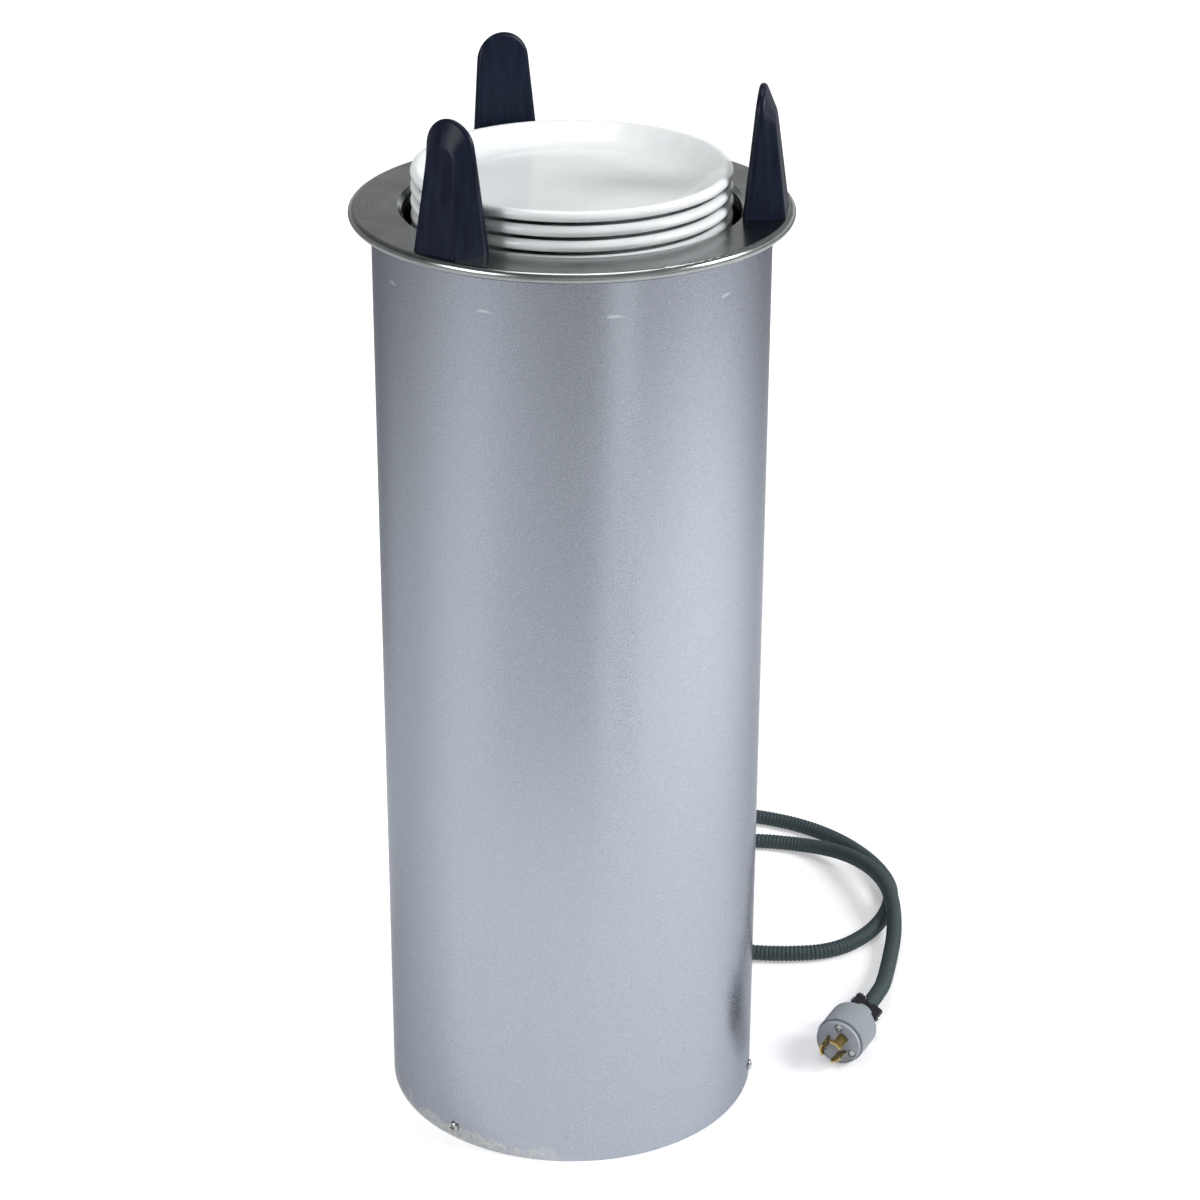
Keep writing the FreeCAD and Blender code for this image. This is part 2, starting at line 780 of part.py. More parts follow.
def make_plate(foot):
    """A rolled-edge plate: a flat well, a curve up and a sloping side tangent to the curve and the roll."""
    roll = plate_rim_thickness / 2
    roll_radius = plate_radius - roll
    roll_height = foot + plate_height - roll
    well = plate_radius * plate_well_share
    well_top = foot + plate_well_height
    curve = (plate_radius - well) * plate_curve_share
    across = roll_radius - well
    rise = roll_height - well_top - curve
    slope = math.atan2(rise, across) + math.asin((curve + roll) / math.hypot(across, rise))
    foot_radius = plate_radius * plate_foot_share
    half = slope / 2
    lean = (slope - math.pi / 2) / 2
    return turned(
        (0, foot + plate_foot_drop),
        (0, well_top),
        (well, well_top),
        (well + curve * math.sin(half), well_top + curve * (1 - math.cos(half)),
         well + curve * math.sin(slope), well_top + curve * (1 - math.cos(slope))),
        (roll_radius - roll * math.sin(slope), roll_height + roll * math.cos(slope)),
        (roll_radius - roll * math.sin(lean), roll_height + roll * math.cos(lean),
         plate_radius, roll_height),
        (roll_radius + roll * math.sqrt(1 / 2), roll_height - roll * math.sqrt(1 / 2),
         roll_radius, roll_height - roll),
        (foot_radius, foot),
        (foot_radius - plate_foot_width, foot),
        (foot_radius - plate_foot_width - plate_foot_drop, foot + plate_foot_drop),
    )


def cord_path(points):
    """Straight runs joined by arcs as large as the runs allow; prints the tightest bend."""
    edges = []
    here = points[0]
    radii = []
    for before, corner, after in zip(points, points[1:], points[2:]):
        back = before - corner
        ahead = after - corner
        run = min(back.Length, ahead.Length) * cord_bend_share
        back.normalize()
        ahead.normalize()
        start = corner + back * run
        end = corner + ahead * run
        half = back.getAngle(ahead) / 2
        radius = run * math.tan(half)
        radii.append(radius)
        to_centre = back + ahead
        to_centre.normalize()
        centre_distance = math.hypot(run, radius)
        middle = corner + to_centre * (centre_distance - radius)
        edges.append(Part.LineSegment(here, start).toShape())
        edges.append(Part.Arc(start, middle, end).toShape())
        here = end
    edges.append(Part.LineSegment(here, points[-1]).toShape())
    print("cord bends: tightest", round(min(radii)), "widest", round(max(radii)))
    return Part.Wire(edges)


def make_cord():
    """The free cord, faceted, from the strain relief's tip to the plug's tail."""
    points = [Vector(*p) for p in cord_route]
    start = polar(shell_radius + gland_flange_thickness + gland_nose_length, exit_angle, exit_height)
    points[0] = start
    path = cord_path(points)
    heading = points[1] - points[0]
    heading.normalize()
    across = heading.cross(UP)
    across.normalize()
    over = across.cross(heading)
    corners = []
    for side in range(cord_sides):
        turn = math.radians(full_turn / cord_sides * (side + 1 / 2))
        corners.append(start + (across * math.cos(turn) + over * math.sin(turn)) * cord_radius)
    section = Part.makePolygon(corners + corners[:1])
    tube = path.makePipeShell([section], True, False)
    area = Part.Face(section).Area
    print("cord length", round(path.Length), "volume share", round(tube.Volume / area / path.Length, 4))
    return tube


def on_plug(shape):
    """Lay a plug piece, made upright along its own axis, at the cord's end and along its heading."""
    shape = shape.copy()
    shape.rotate(ORIGIN, Vector(0, 1, 0), full_turn / 4)
    shape.rotate(ORIGIN, UP, plug_heading)
    shape.translate(plug_start)
    return shape


def make_plug_body():
    """The grip of the plug: a tongue under the cord, a neck, a ribbed barrel and the groove before the face."""
    shoulder_centre = plug_barrel_start + plug_shoulder
    diagonal = plug_shoulder * math.sqrt(1 / 2)
    groove_floor = plug_radius - plug_groove_depth
    body = turned(
        (0, plug_tail_length),
        (plug_neck_radius, plug_tail_length),
        (plug_neck_radius, plug_barrel_start),
        (plug_radius - plug_shoulder, plug_barrel_start),
        (plug_radius - plug_shoulder + diagonal, shoulder_centre - diagonal, plug_radius, shoulder_centre),
        (plug_radius, plug_barrel_end),
        (groove_floor, plug_barrel_end),
        (groove_floor, plug_face_start),
        (0, plug_face_start),
    )
    half = plug_rib_width / 2
    rib = block(
        Vector(plug_radius - plug_shoulder, -half, shoulder_centre),
        Vector(plug_radius + plug_rib_height, half, plug_barrel_end),
    )
    tongue = rod(plug_neck_radius, 0, plug_tail_length).common(block(
        Vector(clamp_drop, -plug_neck_radius, 0),
        Vector(plug_neck_radius, plug_neck_radius, plug_tail_length),
    ))
    tongue = tongue.cut(rod(cord_radius + clamp_gap, -cut_overrun, plug_tail_length))
    return on_plug(body.fuse([tongue] + around(rib, plug_rib_count, 0)).removeSplitter())


def make_plug_face():
    """The front disc of the plug, with a low rim about its floor."""
    rim_inner = plug_face_radius - plug_face_rim
    return on_plug(turned(
        (0, plug_face_start),
        (plug_face_radius, plug_face_start),
        (plug_face_radius, plug_face_end - plug_face_chamfer),
        (plug_face_radius - plug_face_chamfer, plug_face_end),
        (rim_inner, plug_face_end),
        (rim_inner, plug_face_floor),
        (0, plug_face_floor),
    ))


def make_plug_blades():
    """Three curved locking blades; each has a hook at its tip."""
    end = plug_face_floor + plug_blade_length
    inner = plug_blade_circle - plug_blade_thickness
    face = outline((inner, plug_face_floor), (plug_blade_circle, plug_face_floor),
                   (plug_blade_circle, end), (inner, end))
    hook_low = end - plug_hook_length
    hook_face = outline(
        (inner, hook_low), (plug_blade_circle, hook_low), (plug_blade_circle, end), (inner, end))
    blade = face.revolve(ORIGIN, UP, plug_blade_span)
    hook = turned_to(hook_face.revolve(ORIGIN, UP, plug_hook_span), plug_blade_span)
    blade = blade.fuse(hook).removeSplitter()
    return group([on_plug(b) for b in around(blade, plug_blade_count, 0)])


def make_plug_screws():
    """Round screw heads on the plug's face."""
    head = rod(plug_screw_radius, plug_face_floor, plug_face_floor + plug_screw_height, plug_screw_circle)
    heads = around(head, plug_screw_count, plug_screw_first_angle)
    return group([on_plug(h) for h in heads])


def make_plug_clamp():
    """The two black jaws on the plug's tongue, and the end of the cord that they grip."""
    jaw = block(
        Vector(-clamp_rise, clamp_split / 2, 0),
        Vector(clamp_drop, clamp_half_width, plug_tail_length),
    )
    outer_edges = [e for e in jaw.Edges if min(v.Y for v in e.Vertexes) > clamp_split]
    jaw = jaw.makeChamfer(clamp_chamfer, outer_edges)
    jaw = jaw.cut(rod(cord_radius + clamp_gap, -cut_overrun, plug_tail_length + cut_overrun))
    tail = rod(cord_radius, 0, plug_tail_length)
    jaws = [jaw, jaw.mirror(ORIGIN, Vector(0, 1, 0)), tail]
    return group([on_plug(j) for j in jaws])


export("outer_shell", make_shell())
export("top_flange", make_flange())
export("flange_collar", make_collar())
for name, post in zip(("left", "right", "rear"), around(make_post(), post_count, post_first_angle)):
    export("guide_post_" + name, post)
export("guide_post_screws", make_post_screws())
export("base_pan", make_base_pan())
export("base_screws", make_base_screws())
export("heat_shield", make_shield())
export("shield_standoffs", make_standoffs())
export("heater_element", make_heater())
export("heater_clips", make_heater_clips())
export("thermostat", make_thermostat())
export("terminal_block", make_terminal_block())
export("strain_relief", make_strain_relief())
export("gland_locknut", make_locknut())
for name, guide in zip(("front", "right", "left"), around(make_rod(), rod_count, rod_first_angle)):
    export("guide_rod_" + name, guide)
export("rod_screws", make_rod_screws())
export("rod_brackets", group(around(
    make_bracket(rod_screw_radius + hole_gap), rod_count, rod_first_angle)))
export("spring_brackets", group(around(
    make_bracket(spring_stud_radius + slip_gap), rod_count, spring_angle)))
export("rod_bumpers", make_bumpers())
for name, spring in zip(("right", "rear", "left"), around(make_spring(), rod_count, spring_angle)):
    export("lift_spring_" + name, spring)
export("upper_spring_plugs", group(around(
    make_spring_plug(bracket_underside, bracket_top, -1), rod_count, spring_angle)))
export("lower_spring_plugs", group(around(
    make_spring_plug(spider_top, spider_underside, 1), rod_count, spring_angle)))
export("carriage_platform", make_platform())
export("carriage_legs", make_legs())
export("carriage_spider", make_spider())
export("carriage_bushes", make_bushes())
export("carriage_bolts", make_bolts())
export("plate_stack", group([make_plate(stack_foot + i * plate_pitch) for i in range(stack_count)]))
export("top_plate", make_plate(top_plate_foot))
export("power_cord", make_cord())
export("plug_body", make_plug_body())
export("plug_face", make_plug_face())
export("plug_blades", make_plug_blades())
export("plug_screws", make_plug_screws())
export("plug_clamp", make_plug_clamp())
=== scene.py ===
# %% [markdown]
# # Heated plate dispenser
# A steel tube that hangs in a counter keeps a stack of plates warm and level with its rim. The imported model
# is loaded first as a fixed frame, and every piece made here is placed in that frame, in metres.

# %% Load the frame
import json
import math
import bpy
import bmesh
from mathutils import Matrix, Vector

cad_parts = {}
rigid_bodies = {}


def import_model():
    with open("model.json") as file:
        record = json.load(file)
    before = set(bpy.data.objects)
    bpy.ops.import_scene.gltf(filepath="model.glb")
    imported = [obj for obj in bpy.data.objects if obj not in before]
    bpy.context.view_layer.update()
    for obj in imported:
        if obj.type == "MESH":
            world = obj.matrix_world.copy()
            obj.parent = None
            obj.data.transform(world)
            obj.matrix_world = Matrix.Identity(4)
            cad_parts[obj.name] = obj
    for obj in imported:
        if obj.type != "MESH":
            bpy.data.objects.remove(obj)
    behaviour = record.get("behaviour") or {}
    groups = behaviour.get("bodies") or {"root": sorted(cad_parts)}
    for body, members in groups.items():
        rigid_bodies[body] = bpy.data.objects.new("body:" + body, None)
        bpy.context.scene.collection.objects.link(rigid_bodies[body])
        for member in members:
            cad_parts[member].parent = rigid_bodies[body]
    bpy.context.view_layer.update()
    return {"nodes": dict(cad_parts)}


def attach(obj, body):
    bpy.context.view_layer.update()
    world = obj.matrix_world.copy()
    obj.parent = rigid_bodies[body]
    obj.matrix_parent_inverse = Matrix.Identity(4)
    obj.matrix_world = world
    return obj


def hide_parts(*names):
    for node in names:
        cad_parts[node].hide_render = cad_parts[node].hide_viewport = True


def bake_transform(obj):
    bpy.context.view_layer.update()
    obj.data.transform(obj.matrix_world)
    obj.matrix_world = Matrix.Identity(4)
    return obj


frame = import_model()
nodes = frame["nodes"]
MM = 0.001

# %% [markdown]
# ## The camera
# The picture was taken from a little above the rim with a long lens, so the tube's sides nearly keep their
# width down to the floor. A camera could be aimed with a constraint; here its place and tilt are written
# down, because they were worked out from the ellipses of the rim and the foot. A small shift sets the object
# left of the middle without turning the camera.

# %% Camera
IMAGE_SIDE = 1200
FOCAL_PIXELS, SHIFT_PIXELS = 3084.8, 28.07
CAMERA_TURN = math.radians(22.5)
CAMERA_DIP = math.radians(24.78)
CAMERA_REACH, CAMERA_HEIGHT = 2.1059, 1.3793
camera_data = bpy.data.cameras.new("studio_camera")
camera_data.sensor_width = 36.0
camera_data.lens = FOCAL_PIXELS / IMAGE_SIDE * camera_data.sensor_width
camera_data.shift_x = SHIFT_PIXELS / IMAGE_SIDE
camera = bpy.data.objects.new("studio_camera", camera_data)
camera.location = (-CAMERA_REACH * math.sin(CAMERA_TURN), -CAMERA_REACH * math.cos(CAMERA_TURN), CAMERA_HEIGHT)
camera.rotation_euler = (math.pi / 2 - CAMERA_DIP, 0.0, -CAMERA_TURN)
bpy.context.scene.collection.objects.link(camera)
bpy.context.scene.camera = camera
print("camera at", [round(v, 3) for v in camera.location], "lens", round(camera_data.lens, 1), "mm")

# %% [markdown]
# ## Helpers for materials
# Colours are picked as sRGB hex values, as a paint chart gives them, and Blender's shaders want linear light,
# so one function converts them. A second one adds a node with its settings and links, which keeps every
# material below readable as a list of nodes.

# %% Colour, node and material helpers
def linear(hex_colour):
    """An sRGB hex colour as linear red, green, blue and alpha."""
    shares = [int(hex_colour[i:i + 2], 16) / 255 for i in (1, 3, 5)]
    return [s / 12.92 if s <= 0.04045 else ((s + 0.055) / 1.055) ** 2.4 for s in shares] + [1.0]


def add(tree, kind, sockets=None, **settings):
    """Add one node: settings are its properties, sockets take values or the outputs that feed them."""
    made = tree.nodes.new(kind)
    for name, value in settings.items():
        setattr(made, name, value)
    for name, value in (sockets or {}).items():
        if isinstance(value, bpy.types.NodeSocket):
            tree.links.new(value, made.inputs[name])
        else:
            made.inputs[name].default_value = value
    return made


def finish_material(name, colour, **values):
    """A new material with one Principled shader; returns it with its tree and shader."""
    material = bpy.data.materials.new(name)
    material.use_nodes = True
    tree = material.node_tree
    tree.nodes.clear()
    shader = add(tree, "ShaderNodeBsdfPrincipled", {"Base Color": linear(colour)})
    for socket, value in values.items():
        shader.inputs[socket.replace("_", " ").title().replace("Ior", "IOR")].default_value = value
    add(tree, "ShaderNodeOutputMaterial", {"Surface": shader.outputs[0]})
    return material, tree, shader


MIX_FACTOR, MIX_A, MIX_B, MIX_RESULT = 0, 6, 7, 2  # sockets of a colour mix
FROM_LOW, FROM_HIGH, TO_LOW, TO_HIGH = 1, 2, 3, 4  # sockets of a map range
NOISE_LOW, NOISE_HIGH = 0.3, 0.7  # most of a noise lies between these


def grained(tree, shader, grain_mm, dark, pale, rough, bump_mm, stretch=(1, 1, 1)):
    """Give a shader a fine grain: two close tones, a range of roughness and a shallow bump."""
    place = add(tree, "ShaderNodeTexCoord")
    grid = add(tree, "ShaderNodeMapping", {"Vector": place.outputs["Object"], "Scale": stretch})
    noise = add(tree, "ShaderNodeTexNoise",
                {"Vector": grid.outputs[0], "Scale": 1 / (grain_mm * MM), "Detail": 3.0, "Roughness": 0.6})
    level = add(tree, "ShaderNodeMapRange",
                {"Value": noise.outputs[0], FROM_LOW: NOISE_LOW, FROM_HIGH: NOISE_HIGH})
    tone = add(tree, "ShaderNodeMix",
               {MIX_FACTOR: level.outputs[0], MIX_A: linear(dark), MIX_B: linear(pale)}, data_type="RGBA")
    sheen = add(tree, "ShaderNodeMapRange",
                {"Value": noise.outputs[0], FROM_LOW: NOISE_LOW, FROM_HIGH: NOISE_HIGH,
                 TO_LOW: rough[0], TO_HIGH: rough[1]})
    relief = add(tree, "ShaderNodeBump",
                 {"Height": noise.outputs[0], "Distance": bump_mm * MM, "Strength": 1.0})
    tree.links.new(tone.outputs[MIX_RESULT], shader.inputs["Base Color"])
    tree.links.new(sheen.outputs[0], shader.inputs["Roughness"])
    tree.links.new(relief.outputs[0], shader.inputs["Normal"])
    return place, tone


print("helpers ready; mid grey is", [round(v, 3) for v in linear("#808080")[:3]])

# %% [markdown]
# ## Floor and light
# A product studio stands the object on a roll of white paper under large soft lamps. The paper is a diffuse
# white that takes the shadow. To the camera it also glows, more on the side away from the key lamp and far
# off, so that the unshadowed paper comes out white while the lamps stay at a level where colours look as they
# are written. Mirrors see a weaker glow, dim in front and brighter to the sides, as the flags and boards
# around a set give it, and that draws the upright bands on the tube.

# %% Paper floor
FLOOR_HALF, FLOOR_LEVEL = 14.0, -0.0002
floor_mesh = bpy.data.meshes.new("paper_floor")
floor_mesh.from_pydata(
    [(x * FLOOR_HALF, y * FLOOR_HALF, FLOOR_LEVEL) for x, y in ((-1, -1), (1, -1), (1, 1), (-1, 1))],
    [], [(0, 1, 2, 3)])
floor = bpy.data.objects.new("paper_floor", floor_mesh)
bpy.context.scene.collection.objects.link(floor)
print("floor", FLOOR_HALF * 2, "m wide")

# %% Paper as the camera sees it
# Uncoated paper, pressed smooth: a plain white without any gloss
paper = bpy.data.materials.new("white_studio_paper")
paper.use_nodes = True
tree = paper.node_tree
tree.nodes.clear()
LAMP_SIDE_GLOW, FAR_SIDE_GLOW, FAR_GLOW = 0.36, 0.66, 0.90
NEAR_REACH, FAR_REACH = 0.7, 2.2
SIDE_REACH = 0.22
image_right = Vector((math.cos(CAMERA_TURN), -math.sin(CAMERA_TURN), 0.0))
image_back = Vector((math.sin(CAMERA_TURN), math.cos(CAMERA_TURN), 0.0))
place = add(tree, "ShaderNodeTexCoord")
reach = add(tree, "ShaderNodeVectorMath", {0: place.outputs["Object"]}, operation="LENGTH")
sideways = add(tree, "ShaderNodeVectorMath", {0: place.outputs["Object"], 1: image_right},
               operation="DOT_PRODUCT")
near = add(tree, "ShaderNodeMapRange",
           {"Value": sideways.outputs["Value"], FROM_LOW: -SIDE_REACH, FROM_HIGH: SIDE_REACH / 2,
            TO_LOW: FAR_SIDE_GLOW, TO_HIGH: LAMP_SIDE_GLOW}, interpolation_type="SMOOTHSTEP")
backdrop = add(tree, "ShaderNodeMapRange",
               {"Value": reach.outputs["Value"], FROM_LOW: NEAR_REACH, FROM_HIGH: FAR_REACH,
                TO_LOW: near.outputs[0], TO_HIGH: FAR_GLOW}, interpolation_type="SMOOTHSTEP")
print("paper glows", LAMP_SIDE_GLOW, "beside the object and", FAR_GLOW, "far off")

# %% Paper as mirrors see it
NEAR_MIRROR, FRONT_MIRROR, RIGHT_MIRROR, LEFT_MIRROR = 0.36, 0.05, 0.46, 0.28
LEFT_FROM, LEFT_TO = -0.85, -0.6  # sine of the bearing, from the image's left to its right
RIGHT_FROM, RIGHT_TO = 0.18, 0.36
MIRROR_NEAR_REACH, MIRROR_FAR_REACH = 0.55, 1.0
DIM_REACH, DIM_SHARE = 2.1, 0.1
ray = add(tree, "ShaderNodeLightPath")
mirrored = add(tree, "ShaderNodeMath",
               {0: ray.outputs["Is Glossy Ray"], 1: ray.outputs["Is Transmission Ray"]}, operation="MAXIMUM")
bearing = add(tree, "ShaderNodeMath", {0: sideways.outputs["Value"], 1: reach.outputs["Value"]},
              operation="DIVIDE")
to_left = add(tree, "ShaderNodeMapRange",
              {"Value": bearing.outputs[0], FROM_LOW: LEFT_FROM, FROM_HIGH: LEFT_TO,
               TO_LOW: LEFT_MIRROR, TO_HIGH: FRONT_MIRROR})
to_sides = add(tree, "ShaderNodeMapRange",
               {"Value": bearing.outputs[0], FROM_LOW: RIGHT_FROM, FROM_HIGH: RIGHT_TO,
                TO_LOW: to_left.outputs[0], TO_HIGH: RIGHT_MIRROR})
fading = add(tree, "ShaderNodeMapRange",
             {"Value": reach.outputs["Value"], FROM_LOW: MIRROR_NEAR_REACH, FROM_HIGH: MIRROR_FAR_REACH,
              TO_LOW: NEAR_MIRROR, TO_HIGH: to_sides.outputs[0]}, interpolation_type="SMOOTHSTEP")
dimming = add(tree, "ShaderNodeMapRange",
              {"Value": reach.outputs["Value"], FROM_LOW: MIRROR_FAR_REACH, FROM_HIGH: DIM_REACH,
               TO_LOW: 1.0, TO_HIGH: DIM_SHARE})
dimmed = add(tree, "ShaderNodeMath", {0: fading.outputs[0], 1: dimming.outputs[0]}, operation="MULTIPLY")
to_mirrors = add(tree, "ShaderNodeMath", {0: mirrored.outputs[0], 1: dimmed.outputs[0]}, operation="MULTIPLY")
glow = add(tree, "ShaderNodeMath",
           {0: ray.outputs["Is Camera Ray"], 1: backdrop.outputs[0], 2: to_mirrors.outputs[0]},
           operation="MULTIPLY_ADD")
matt = add(tree, "ShaderNodeBsdfDiffuse", {"Color": linear("#e8e8ea")})
lit = add(tree, "ShaderNodeEmission", {"Color": (1, 1, 1, 1), "Strength": glow.outputs[0]})
both = add(tree, "ShaderNodeAddShader", {0: matt.outputs[0], 1: lit.outputs[0]})
add(tree, "ShaderNodeOutputMaterial", {"Surface": both.outputs[0]})
floor_mesh.materials.append(paper)
print("paper:", len(tree.nodes), "nodes")

# %% Room around the floor
world = bpy.data.worlds.new("studio_room")
bpy.context.scene.world = world
world.use_nodes = True
tree = world.node_tree
tree.nodes.clear()
ROOM_LIGHT = 0.72
CEILING_TONE, CEILING_FROM, CEILING_TO = 0.36, 0.06, 0.30
DIM_SIDE_TONE, DIM_SIDE_FROM, DIM_SIDE_TO = 0.45, -0.7, 0.2
ray = add(tree, "ShaderNodeLightPath")
mirrored = add(tree, "ShaderNodeMath",
               {0: ray.outputs["Is Glossy Ray"], 1: ray.outputs["Is Transmission Ray"]}, operation="MAXIMUM")
power = add(tree, "ShaderNodeMapRange", {"Value": mirrored.outputs[0], TO_LOW: ROOM_LIGHT, TO_HIGH: 1.0})
heading = add(tree, "ShaderNodeTexCoord")
height = add(tree, "ShaderNodeSeparateXYZ", {0: heading.outputs["Generated"]})
fall = add(tree, "ShaderNodeMapRange",
           {"Value": height.outputs["Z"], FROM_LOW: CEILING_FROM, FROM_HIGH: CEILING_TO,
            TO_LOW: 1.0, TO_HIGH: CEILING_TONE}, interpolation_type="SMOOTHSTEP")
sideways = add(tree, "ShaderNodeVectorMath", {0: heading.outputs["Generated"], 1: image_right},
               operation="DOT_PRODUCT")
dim = add(tree, "ShaderNodeMapRange",
          {"Value": sideways.outputs["Value"], FROM_LOW: DIM_SIDE_FROM, FROM_HIGH: DIM_SIDE_TO,
           TO_LOW: DIM_SIDE_TONE, TO_HIGH: 1.0}, interpolation_type="SMOOTHSTEP")
shade = add(tree, "ShaderNodeMath", {0: fall.outputs[0], 1: dim.outputs[0]}, operation="MULTIPLY")
powered = add(tree, "ShaderNodeMath", {0: shade.outputs[0], 1: power.outputs[0]}, operation="MULTIPLY")
shine = add(tree, "ShaderNodeMath", {0: powered.outputs[0], 1: ray.outputs["Is Camera Ray"]},
            operation="MAXIMUM")
sky = add(tree, "ShaderNodeBackground", {"Color": (1, 1, 1, 1), "Strength": shine.outputs[0]})
add(tree, "ShaderNodeOutputWorld", {"Surface": sky.outputs[0]})
print("room light", ROOM_LIGHT)

# %% Soft lamps
AIM = Vector((0.0, 0.0, 0.45))


def softbox(name, right, back, height, side, watts):
    """A square soft lamp, placed as the image shows the set and aimed at the middle of the tube."""
    data = bpy.data.lights.new(name, "AREA")
    data.shape = "SQUARE"
    data.size = side
    data.energy = watts
    lamp = bpy.data.objects.new(name, data)
    place = image_right * right + image_back * back + Vector((0, 0, height))
    lamp.location = place
    lamp.rotation_euler = (AIM - place).to_track_quat("-Z", "Y").to_euler()
    lamp.visible_camera = False
    bpy.context.scene.collection.objects.link(lamp)
    return lamp


lamps = [
    softbox("key_softbox", right=2.0, back=-0.35, height=1.6, side=0.9, watts=42.0),
    softbox("left_softbox", right=-1.8, back=-1.45, height=1.5, side=1.2, watts=29.0),
    softbox("overhead_softbox", right=0.1, back=0.3, height=2.5, side=1.1, watts=13.5),
]
print("lamps:", [(lamp.name, lamp.data.energy) for lamp in lamps])

# %% [markdown]
# ## A reflector for the tube
# Polished metal shows what stands around it, and a round tube draws it out into upright bands. A glowing white
# board that lies on the floor, in front and to the right, and that only mirrors see, gives the one bright band
# right of the middle: a painted reflection. It could be a lamp, but a glowing board seen by mirrors alone
# leaves the shadows on the floor as they are.

# %% Glowing reflector board, a painted reflection
BOARD_NEAR, BOARD_FAR = 0.8, 3.0
BOARD_TURNS = (math.radians(21.0), math.radians(36.0))
BOARD_LIFT = Vector((0, 0, 0.004))
BOARD_STRENGTH = 1.1
headings = [image_right * math.sin(turn) - image_back * math.cos(turn) for turn in BOARD_TURNS]
board_mesh = bpy.data.meshes.new("glowing_reflector_board")
board_mesh.from_pydata([headings[0] * BOARD_NEAR + BOARD_LIFT, headings[1] * BOARD_NEAR + BOARD_LIFT,
                        headings[1] * BOARD_FAR + BOARD_LIFT, headings[0] * BOARD_FAR + BOARD_LIFT],
                       [], [(0, 1, 2, 3)])
board_glow = bpy.data.materials.new("glowing_reflection_board")
board_glow.use_nodes = True
tree = board_glow.node_tree
tree.nodes.clear()
# The board glows by itself and lights nothing: the band it puts on the tube is a painted reflection
bright = add(tree, "ShaderNodeEmission", {"Color": (1, 1, 1, 1), "Strength": BOARD_STRENGTH})
add(tree, "ShaderNodeOutputMaterial", {"Surface": bright.outputs[0]})
board_mesh.materials.append(board_glow)
board = bpy.data.objects.new("glowing_reflector_board", board_mesh)
bpy.context.scene.collection.objects.link(board)
board.visible_camera = False
board.visible_diffuse = False
board.visible_shadow = False
print("reflector board from", BOARD_NEAR, "to", BOARD_FAR, "m in front")

# %% [markdown]
# ## The power cord
# A heavy rubber-jacketed mains lead leaves a gland at the back, loops on the floor beside the tube and ends
# in a round locking plug. It could be a bevelled curve, but its jacket has fine cross ribs, so a tube of rings
# is built along points read from a smooth NURBS curve, and the ring's radius rises and falls with the ribs.

# %% Cord route
CORD_DIAMETER = 13.4 * MM
POINTS_A_SPAN = 72  # several points on each rib
cord_route_mm = [
    (0, 175, 62), (0, 207, 62), (2, 241, 53), (8, 276, 34), (20, 311, 15), (44, 340, 6.7),
    (86, 359, 6.7), (134, 363, 6.7), (182, 355, 6.7), (229, 339, 6.7), (274, 319, 6.7), (313, 293, 6.7),
    (342, 260, 6.7), (360, 221, 6.7), (367, 176, 6.7), (361, 132, 6.7), (338, 97, 6.7), (305, 70, 6.7),
    (266, 57, 6.7), (225, 68, 6.7), (185, 90, 6.7), (145, 114, 6.7), (107, 140, 6.7), (79, 174, 6.7),
    (67, 213, 6.7), (78, 252, 6.7), (110, 281, 6.7), (152, 293, 6.7), (198, 289, 6.7), (243, 274, 6.7),
    (286, 257, 6.7), (319, 236, 6.7), (339, 204, 13), (347, 167, 20), (348, 130, 23), (340, 94, 23),
    (324, 58, 13), (302, 26, 6.7), (282, -4, 12), (262.5, -32.5, 20.1), (238.5, -52.5, 20.1),
]
curve_data = bpy.data.curves.new("cord_line", "CURVE")
curve_data.dimensions = "3D"
curve_data.resolution_u = POINTS_A_SPAN
spline = curve_data.splines.new("NURBS")
spline.points.add(len(cord_route_mm) - 1)
for point, place in zip(spline.points, cord_route_mm):
    point.co = (place[0] * MM, place[1] * MM, place[2] * MM, 1.0)
spline.order_u = 3
spline.use_endpoint_u = True
curve = bpy.data.objects.new("cord_line", curve_data)
line_mesh = bpy.data.meshes.new_from_object(curve)
cord_line = [v.co.copy() for v in line_mesh.vertices]
bpy.data.objects.remove(curve)


# %% Tube along a line
def new_piece(name, mesh, material, body="shell"):
    """Link a mesh as a smooth piece with the finish it is given, riding on a body unless none is named."""
    piece = bpy.data.objects.new(name, mesh)
    bpy.context.scene.collection.objects.link(piece)
    mesh.materials.append(material)
    for face in mesh.polygons:
        face.use_smooth = True
    if body:
        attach(piece, body)
    return piece


def tube_mesh(name, line, radius_at, sides):
    """Rings along a line, carried without twist; radius_at gives a ring's radius at a length along it."""
    rings = []
    travelled = 0.0
    ahead = (line[1] - line[0]).normalized()
    across = ahead.orthogonal().normalized()
    for i, centre in enumerate(line):
        before = line[max(i - 1, 0)]
        after = line[min(i + 1, len(line) - 1)]
        heading = (after - before).normalized()
        across = ahead.rotation_difference(heading) @ across
        ahead = heading
        over = heading.cross(across)
        travelled += (centre - before).length
        radius = radius_at(travelled)
        turns = [math.tau * s / sides for s in range(sides)]
        rings.append([centre + (across * math.cos(t) + over * math.sin(t)) * radius for t in turns])
    verts = [v for ring in rings for v in ring]
    faces = [tuple(range(sides))[::-1], tuple(len(verts) - sides + s for s in range(sides))]
    for r in range(len(rings) - 1):
        for s in range(sides):
            low = r * sides
            faces.append((low + s, low + (s + 1) % sides, low + sides + (s + 1) % sides, low + sides + s))
    mesh = bpy.data.meshes.new(name)
    mesh.from_pydata(verts, [], faces)
    return mesh


# %% Ribbed cord
RIB_PITCH = 3.5 * MM
RIB_HEIGHT = 0.9 * MM
CORD_SIDES = 14


def cord_radius(along):
    """The jacket's radius: round ribs that stand side by side."""
    return CORD_DIAMETER / 2 - RIB_HEIGHT + RIB_HEIGHT * abs(math.sin(math.pi * along / RIB_PITCH))


